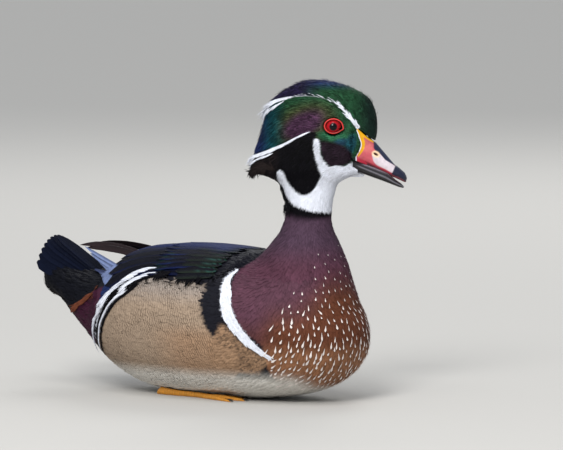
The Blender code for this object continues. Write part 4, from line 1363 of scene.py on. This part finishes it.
line_piece("copper_plumes", "rump_feathers", RUMP_FINISH, (
    (COPPER, PLUME_LINE, (2.0, 3.0, 3.0, 2.4, 1.0), 130, 10, 0.36, 2.2, 0.14, 0.0, 0.0, 0.0, 0.4),
), False, 0.8)
TAIL_EDGE = curve([(-188, 34), (-198, 43), (-208, 54), (-220, 64), (-232, 68), (-244, 74)])
line_piece("undertail_feathers", "rump_feathers", RUMP_FINISH, (
    (VENT_BROWN * 0.8, TAIL_EDGE, (7, 10, 12, 12, 8), 600, 11, 0.5, 1.7, 0.4, 0.0, 1.0, 0.75, 0.7),
), False, 0.6)

# Bill


def painted_form(names, name, slot, finish, voxel, rounds, shape, colours):
    """A smooth copy of CAD nodes, its shape worked over and its colours painted on. It stands for them."""
    thing = smooth_form(names, voxel, rounds, name, grow=0.05)
    places, normals = read_mesh(thing.data)
    write_places(thing.data, shape(places, normals))
    set_colours(thing.data, *colours(places, normals))
    dress(thing, finish, slot, *names)
    return thing


BILL_PITCH = math.radians(24.4)
GAPE = (33.0 - EYE_FORWARD, 180.5 - 204.3)


def bill_frame(places):
    """Along the bill from the gape, left, and over the mouth's line."""
    forward, left, up = head_place(places)
    dx, dz = forward - GAPE[0], up - GAPE[1]
    cos, sin = math.cos(BILL_PITCH), math.sin(BILL_PITCH)
    return dx * cos - dz * sin, left, dx * sin + dz * cos


NOSTRIL = (31.6, -20.4)
NAIL_FROM = 30.9


def bill_shape(places, normals):
    forward, left, up = head_place(places)
    along, _, over = bill_frame(places)
    slot_hole = blob(forward, up, NOSTRIL, (1.9, 0.75), -0.5) * (np.abs(left) > 1.5)
    rim = blob(forward, up, NOSTRIL, (3.1, 2.1), -0.5) * (np.abs(left) > 1.5) * (1 - slot_hole)
    nail = ease(along, NAIL_FROM, NAIL_FROM + 0.8) * ease(np.abs(left), 5.2, 4.2)
    groove = np.exp(-((along - NAIL_FROM) / 0.35) ** 2)
    comb = np.sin(along * math.tau / 1.0) * 0.1 * ease(over, 1.2, 0.2)
    lip = 0.22 * np.exp(-((over - 1.6) / 0.5) ** 2) * ease(along, 2, 8)
    move = -1.1 * slot_hole + 0.18 * rim + 0.22 * nail - 0.18 * groove + comb - lip
    return places + normals * move[:, None]


BILL_WHITE = curve(
    [
        (28.6, -21), (31, -18.2), (35.5, -20.8), (40.5, -25.4), (47, -30.5), (44.6, -34.6), (38.5, -31.4),
        (32.5, -28.6), (29.8, -25.5)],
    3)


def bill_colours(places, normals):
    forward, left, up = head_place(places)
    along, _, over = bill_frame(places)
    aside = np.abs(left)
    colours = np.tile(shade(192, 84, 94), (len(forward), 1))
    paint(
        colours,
        (blob(forward, up, (24, -14), (6.5, 4.5), -0.7) * 0.7, shade(206, 112, 108)),
        (ease(over, 3.6, 1.4), shade(176, 32, 56)))
    paint(colours, (within(forward, up, BILL_WHITE, 0.6), shade(206, 194, 200)))
    wedge = np.interp(forward, (17, 22.2, 26.4, 30.5, 32.6), (-1.4, -7.4, -10.2, -12.4, -14.6))
    yellow = ease(up - wedge, -0.3, 0.3) * ease(forward, 33, 32)
    yellow = np.maximum(
        yellow, stripe(forward, up, BILL_EDGE + np.array([1.0, 0]), (4.0, 3.8, 3.0, 2.5, 2.2, 1.0), 0.3))
    paint(colours, (yellow, shade(220, 160, 8)))
    under = np.interp(forward, (29.5, 31.5, 35.2, 38.5, 46.5), (-15.5, -18, -20.7, -24.7, -29.6))
    top = ease(up - under, -0.35, 0.35) * ease(forward, 29.2, 30.6)
    paint(colours, (top, shade(24, 32, 60)))
    tip = ease(along, NAIL_FROM - 0.3, NAIL_FROM + 0.3)
    paint(colours, (tip, shade(24, 28, 50)))
    # a pale ring round the nostril, painted shade in the nostril's hole, and duller pink where the bill
    # faces down over the mouth
    ring = blob(forward, up, NOSTRIL, (3.4, 2.4), -0.5) * (aside > 1.5)
    paint(
        colours,
        (ring, shade(238, 206, 168)),
        (blob(forward, up, NOSTRIL, (2.1, 0.95), -0.5) * (aside > 1.5), shade(62, 14, 14)),
        (ease(normals[:, 2], -0.55, -0.8) * ease(over, 3, 1), shade(120, 56, 62)))
    edge = np.interp(up, BILL_EDGE[::-1, 1], BILL_EDGE[::-1, 0])
    paint(
        colours,
        (ease(edge - 0.2 - forward, -0.15, 0.15) * (up < 0), WHITE),
        (ease(edge - 0.9 - forward, -0.2, 0.3) * (up < 0), BLACK_GREEN))
    return colours, 0.2 + 0.5 * tip


def lower_shape(places, normals):
    along, _, over = bill_frame(places)
    comb = np.sin(along * math.tau / 0.8) * 0.14 * ease(over, -2.9, -1.6)
    comb *= ease(np.abs(normals[:, 2]), 0.9, 0.6)
    line = -0.22 * np.exp(-((over + 3.2) / 0.35) ** 2)
    raised = np.interp(along, (-1, 8, 20, 28, 31, 35, 43), (0.8, 1.2, 2.1, 2.6, 1.9, 0.9, 0.2))
    raised *= ease(over, -5.5, -1.2)
    forward, left, up = head_place(places + normals * (comb + line)[:, None])
    return from_head(forward + raised * math.sin(BILL_PITCH), left, up + raised * math.cos(BILL_PITCH))


def lower_colours(places, normals):
    along, _, over = bill_frame(places)
    colours = np.tile(shade(10, 8, 12), (len(along), 1))
    lamella = 0.5 + 0.5 * np.sin(along * math.tau / 0.9)
    paint(
        colours, (ease(over, -3.0, -1.8) * ease(over, 1.0, 0.2) * (0.2 + 0.5 * lamella), shade(92, 86, 96)))
    combs = np.exp(-(((over + 1.7) / 0.35) ** 2)) + 0.7 * np.exp(-(((over + 3.6) / 0.3) ** 2))
    paint(
        colours,
        (combs * ease(along, 3, 8) * (0.55 + 0.15 * lamella), shade(158, 154, 164)),
        (ease(normals[:, 2], 0.75, 0.95) * ease(along, 28, 32), shade(120, 84, 92)))
    return colours, np.full(len(along), 0.4)


def horn_finish(name, rough, coat, uneven=0.1):
    """Smooth horn and bare skin: painted, a little uneven, under a thin gloss."""
    finish, nodes, shader = start_finish(name, Specular_IOR_Level=0.3, Coat_Weight=coat, Coat_Roughness=0.3)
    tone = nodes.group(SPECKLE, Colour=nodes.attribute("coat")["Color"], Scale=420.0, Amount=uneven)
    roughness = nodes.span(tone["Height"], 0.3, 0.7, rough - 0.07, rough + 0.1)
    nodes.feed(shader, {
        "Base Color": tone["Colour"], "Roughness": roughness, "Normal": nodes.bump(0.2, tone["Height"])})
    return finish


BILL_FINISH = horn_finish("bill_horn", 0.42, 0.12, 0.12)
LOWER_FINISH = horn_finish("lower_bill_horn", 0.3, 0.45)
upper_bill = painted_form(
    ("bill_upper",), "upper_bill", "bill_upper", BILL_FINISH, 0.42, 5, bill_shape, bill_colours)
painted_form(("bill_lower",), "lower_bill", "bill_lower", LOWER_FINISH, 0.42, 4, lower_shape, lower_colours)


def bill_edge_feathers():
    """Small feathers over the bill's root: back from its curved edge, and along the forehead."""
    places, normals = read_mesh(upper_bill.data)
    both = tree_of((upper_bill.data, skin.data))
    roots, ups = [], []
    for side in (-1, 1):
        forward, up = rng.uniform(13, 22, 4200), rng.uniform(-22, 1.5, 4200)
        edge = np.interp(up, BILL_EDGE[::-1, 1], BILL_EDGE[::-1, 0])
        inside = forward < edge - 0.35
        far = from_head(forward[inside], np.full(inside.sum(), side * OUTSIDE), up[inside])
        for place in far.tolist():
            hit = both.ray_cast(place, (SIN * side, -COS * side, 0.0))
            if hit[0] is not None:
                roots.append(hit[0][:])
                ups.append(hit[1][:])
    forward, _, up = head_place(places)
    reach = np.array([SKIN_TREE.find_nearest(place)[3] for place in places.tolist()])
    close = (reach < 0.9) & (up > -14) & (forward > 18) & (normals[:, 2] > 0.1)
    close &= rng.random(len(forward)) < 0.6
    roots = np.vstack([roots, places[close]])
    ups = np.vstack([ups, normals[close]])
    count = len(roots)
    length = rng.uniform(1.8, 3.0, count) + 2.0 * ease(head_place(roots)[0], 18, 15)
    half, lift = rng.uniform(0.35, 0.5, count), rng.uniform(0.5, 1.0, count)
    turn = rng.normal(0, 0.15, count)
    points, over = grow_vanes(both, roots, ups, length, half, lift, turn=turn, ridge=0.25, stiff=0.5)
    vane_piece(
        "bill_edge_feathers", "head_feathers", HEAD_FINISH, points, over,
        *vane_colours(points, 0.6, 0.3, 0.4), 0.5)


def chin_feathers():
    """The wedge of white feathers that runs forward under the lower bill."""
    rows, count = 6, 260
    share = np.linspace(0, 1, rows)[None]
    side = np.where(rng.random(count) < 0.5, -1, 1)[:, None]
    start = rng.uniform(13, 23.3, (count, 1))
    top = np.interp(start, (14, 23.5), (-31.5, -36.0))
    up = top + (-36.9 - top) * rng.random((count, 1))
    aside = side * np.interp(up, (-37, -31), (0.6, 5.0)) * rng.uniform(0.7, 1, (count, 1))
    forward = start - 6.5 * share
    centres = from_head(forward, aside * (1 + 0.3 * share), up - 0.3 * share)
    normals = unit(from_head(
        0 * forward, 0 * forward + side * 0.9,
        0 * forward - 0.45) - from_head(0 * forward, 0 * forward, 0 * forward))
    half = 0.55 * np.interp(share, *np.array(TUFT_WIDTHS).T) * np.ones((count, 1))
    points = vane_points(centres, normals, half, 0.2 + 0.3 * share * np.ones((count, 1)), TUFT_RING, 0.2)
    vane_piece(
        "chin_feathers", "neck_feathers", NECK_FINISH, points, normals, *plain_colours(points, WHITE), 0.7)


bill_edge_feathers()
chin_feathers()

# Eyes and lids

EYE_OUT = 10.6
EYE_RADIUS = 6.15


def make_eye(side, word):
    """A ball with its iris and pupil facing out, and the clear bulge over them."""
    bm = bmesh.new()
    bmesh.ops.create_uvsphere(bm, u_segments=64, v_segments=40, radius=EYE_RADIUS)
    mesh = as_mesh(bm, f"eyeball_{word}")
    local = np.array([vert.co for vert in mesh.vertices])
    # the ball's pole faces out to the side of the head
    forward, up, out = local[:, 0], local[:, 1], local[:, 2]
    off = np.hypot(forward, up)
    front = out > 0
    bulge = 0.35 * np.clip(1 - (off / 4.3) ** 2, 0, 1) * front
    places = from_head(forward, side * (EYE_OUT + out + bulge), up + 0.3)
    write_places(mesh, places)
    angle = np.arctan2(up, forward)
    streaks = 0.5 + 0.3 * np.sin(angle * 23 + 1.3 * np.sin(angle * 7)) + 0.2 * np.sin(angle * 51)
    colours = np.tile(shade(158, 16, 28), (len(local), 1))
    paint(
        colours,
        (ease(off, 3.2, 4.8) * 0.6 * streaks, shade(200, 50, 44)),
        (ease(off, 5.3, 5.9), shade(70, 10, 14)),
        (ease(off, 3.0, 2.7), shade(3, 3, 8)),
        (blob(forward, up, (5.6, -1.7), (1.5, 1.1)) * front, BLACK))
    set_colours(mesh, colours, np.ones(len(local)))
    bm = bmesh.new()
    bm.from_mesh(mesh)
    bmesh.ops.recalc_face_normals(bm, faces=bm.faces)
    bm.to_mesh(mesh)
    bm.free()
    mesh.shade_smooth()
    dress(put(f"eyeball_{word}", mesh), EYE_FINISH, "eye", f"eye_{word}")


# the ring of the lids: how far forward its middle is, and its half sizes
LID_MIDDLE, LID_WIDE, LID_HIGH = 0.4, 6.3, 5.1


def lid_colours(places, normals):
    forward, _, up = head_place(places)
    out = np.hypot((forward - LID_MIDDLE) / LID_WIDE, up / LID_HIGH)
    colours = np.tile(shade(206, 58, 52), (len(forward), 1))
    paint(colours, (ease(out, 0.98, 0.9), shade(90, 14, 18)), (ease(out, 1.1, 1.2), shade(120, 26, 26)))
    return colours, np.zeros(len(forward))


def lid_shape(places, normals):
    """The ring finer than packed, with a drawn-out corner at its lower front."""
    forward, left, up = head_place(places)
    angle = np.arctan2(up / LID_HIGH, (forward - LID_MIDDLE) / LID_WIDE)
    middle_e, middle_w = LID_MIDDLE + LID_WIDE * np.cos(angle), LID_HIGH * np.sin(angle)
    drawn = 1.1 * np.exp(-((angle + 0.34) / 0.28) ** 2)
    forward = middle_e * 1.02 + (forward - middle_e) * 0.66 + drawn * 0.7 - 0.15
    up = middle_w * 1.02 + (up - middle_w) * 0.66 - drawn * 0.3 + 0.75
    return from_head(forward, left, up)


EYE_FINISH, nodes, shader = start_finish(
    "eye", Roughness=0.35, Coat_Weight=0.85, Coat_IOR=1.33, Coat_Roughness=0.02, Specular_IOR_Level=0.0)
nodes.feed(shader, {"Base Color": nodes.attribute("coat")["Color"]})
LID_FINISH = horn_finish("eyelid_skin", 0.5, 0.1, 0.15)
for side, word in SIDES:
    make_eye(side, word)
    painted_form((f"eyelid_{word}",), f"lid_{word}", "eyelid", LID_FINISH, 0.2, 8, lid_shape, lid_colours)

# Legs and feet

FOOT_JOINT = (-82.0, 31.0)
TOES = ((-17, 40), (0, 48), (15, 45))


def toe_end(side, spread, reach):
    """The place on the floor that a toe reaches, and its turn."""
    turn = side * math.radians(spread)
    return FOOT_JOINT[0] + reach * math.cos(turn), side * FOOT_JOINT[1] + reach * math.sin(turn), turn


def toe_nearness(places, side):
    """How near a place is to a toe's own line, against the web between."""
    best = np.full(len(places), 99.0)
    for spread, length in TOES:
        line = np.array([(FOOT_JOINT[0], side * FOOT_JOINT[1]), toe_end(side, spread, length)[:2]])
        best = np.minimum(best, beside(places[:, 0], places[:, 1], line)[0])
    return best


def foot_colours(places, normals):
    side = np.sign(places[:, 1].mean())
    near = toe_nearness(places, side)
    behind = places[:, 0] < FOOT_JOINT[0]
    colours = np.tile(shade(196, 132, 44), (len(places), 1))
    paint(colours, (ease(near, 1.9, 3.0) * ~behind, shade(62, 50, 44)))
    knuckle = 0.5 + 0.5 * np.sin(places[:, 0] * math.tau / 2.4)
    paint(colours, (0.25 * knuckle, shade(120, 78, 34)))
    return colours, np.zeros(len(places))


def foot_shape(places, normals):
    side = np.sign(places[:, 1].mean())
    near = toe_nearness(places, side)
    toe = ease(near, 2.4, 1.6) + (places[:, 0] < FOOT_JOINT[0])
    scales = np.sin(places[:, 0] * math.tau / 1.7) * 0.09 * np.clip(toe, 0, 1)
    made = places + normals * scales[:, None]
    made[:, 2] = np.maximum(made[:, 2], 0.0)
    return made


LEG_FINISH = horn_finish("leg_skin", 0.55, 0.05, 0.25)
CLAW_FINISH = horn_finish("claw_horn", 0.35, 0.3)


def make_claws(side, word):
    bm = bmesh.new()
    for spread, length in TOES:
        x, y, turn = toe_end(side, spread, length + 0.9)
        made = bmesh.ops.create_cone(
            bm, cap_ends=True, segments=12, radius1=0.95, radius2=0.12, depth=4.6)["verts"]
        for angle, axis in ((math.radians(100), "Y"), (turn, "Z")):
            bmesh.ops.rotate(bm, verts=made, cent=(0, 0, 0), matrix=Matrix.Rotation(angle, 3, axis))
        bmesh.ops.translate(bm, verts=made, vec=(x, y, 1.15))
    bmesh.ops.recalc_face_normals(bm, faces=bm.faces)
    mesh = as_mesh(bm, f"claws_{word}")
    places = np.array([vert.co for vert in mesh.vertices])
    places[:, 2] = np.maximum(places[:, 2], 0.02)
    write_places(mesh, places)
    set_colours(mesh, np.tile(shade(34, 28, 26), (len(places), 1)), np.zeros(len(places)))
    mesh.shade_smooth()
    dress(put(f"claws_{word}", mesh), CLAW_FINISH, "leg_skin")


for side, word in SIDES:
    painted_form(
        (f"leg_{word}", f"foot_{word}"), f"webbed_foot_{word}", "leg_skin", LEG_FINISH, 0.5, 2, foot_shape,
        foot_colours)
    make_claws(side, word)

# Camera, lights and floor


def lamp(name, place, aim, size, watts):
    """A round soft lamp that faces its aim."""
    light = bpy.data.lights.new(name, "AREA")
    light.energy = watts
    light.shape = "DISK"
    light.size = size
    thing = put(name, light)
    thing.location = place
    thing.rotation_euler = (Vector(aim) - Vector(place)).to_track_quat("-Z", "Y").to_euler()


CAMERA_TURN = math.radians(40)
CAMERA_RISE = math.radians(4)
CAMERA_FAR = 4.0
AIM = Vector((NECK[0] * MM - 0.0196 * COS, NECK[1] * MM - 0.0196 * SIN, 0.131))
level = math.cos(CAMERA_RISE)
toward = Vector((math.sin(CAMERA_TURN) * level, -math.cos(CAMERA_TURN) * level, math.sin(CAMERA_RISE)))
lens = bpy.data.cameras.new("camera")
lens.lens = 345.6
lens.sensor_width = 36.0
lens.clip_end = 200.0
camera = put("camera", lens)
camera.location = AIM + toward * CAMERA_FAR
camera.rotation_euler = (-toward).to_track_quat("-Z", "Y").to_euler()
bpy.context.scene.camera = camera

lamp("key", (1.3, -2.6, 1.9), (0, 0, 0.12), 1.2, 90)
lamp("back", (-1.2, 2.4, 2.2), (0, 0, 0.15), 1.6, 30)
sun = bpy.data.lights.new("overhead", "SUN")
sun.energy = 1.05
sun.angle = math.radians(35)
overhead = put("overhead", sun)
overhead.rotation_euler = (math.radians(24), math.radians(14), 0)

world = bpy.data.worlds.new("studio")
world.use_nodes = True
Nodes(world.node_tree).feed(
    world.node_tree.nodes["Background"], {"Color": (0.82, 0.86, 0.92, 1), "Strength": 0.62})
bpy.context.scene.world = world
bpy.context.scene.view_settings.view_transform = "Standard"

floor_form = bmesh.new()
bmesh.ops.create_circle(floor_form, cap_ends=True, segments=96, radius=60.0)
floor = put("floor", as_mesh(floor_form, "floor"))
floor.data.materials.append(start_finish(
    "pale_floor", Roughness=0.9, Base_Color=(0.50, 0.485, 0.455, 1))[0])
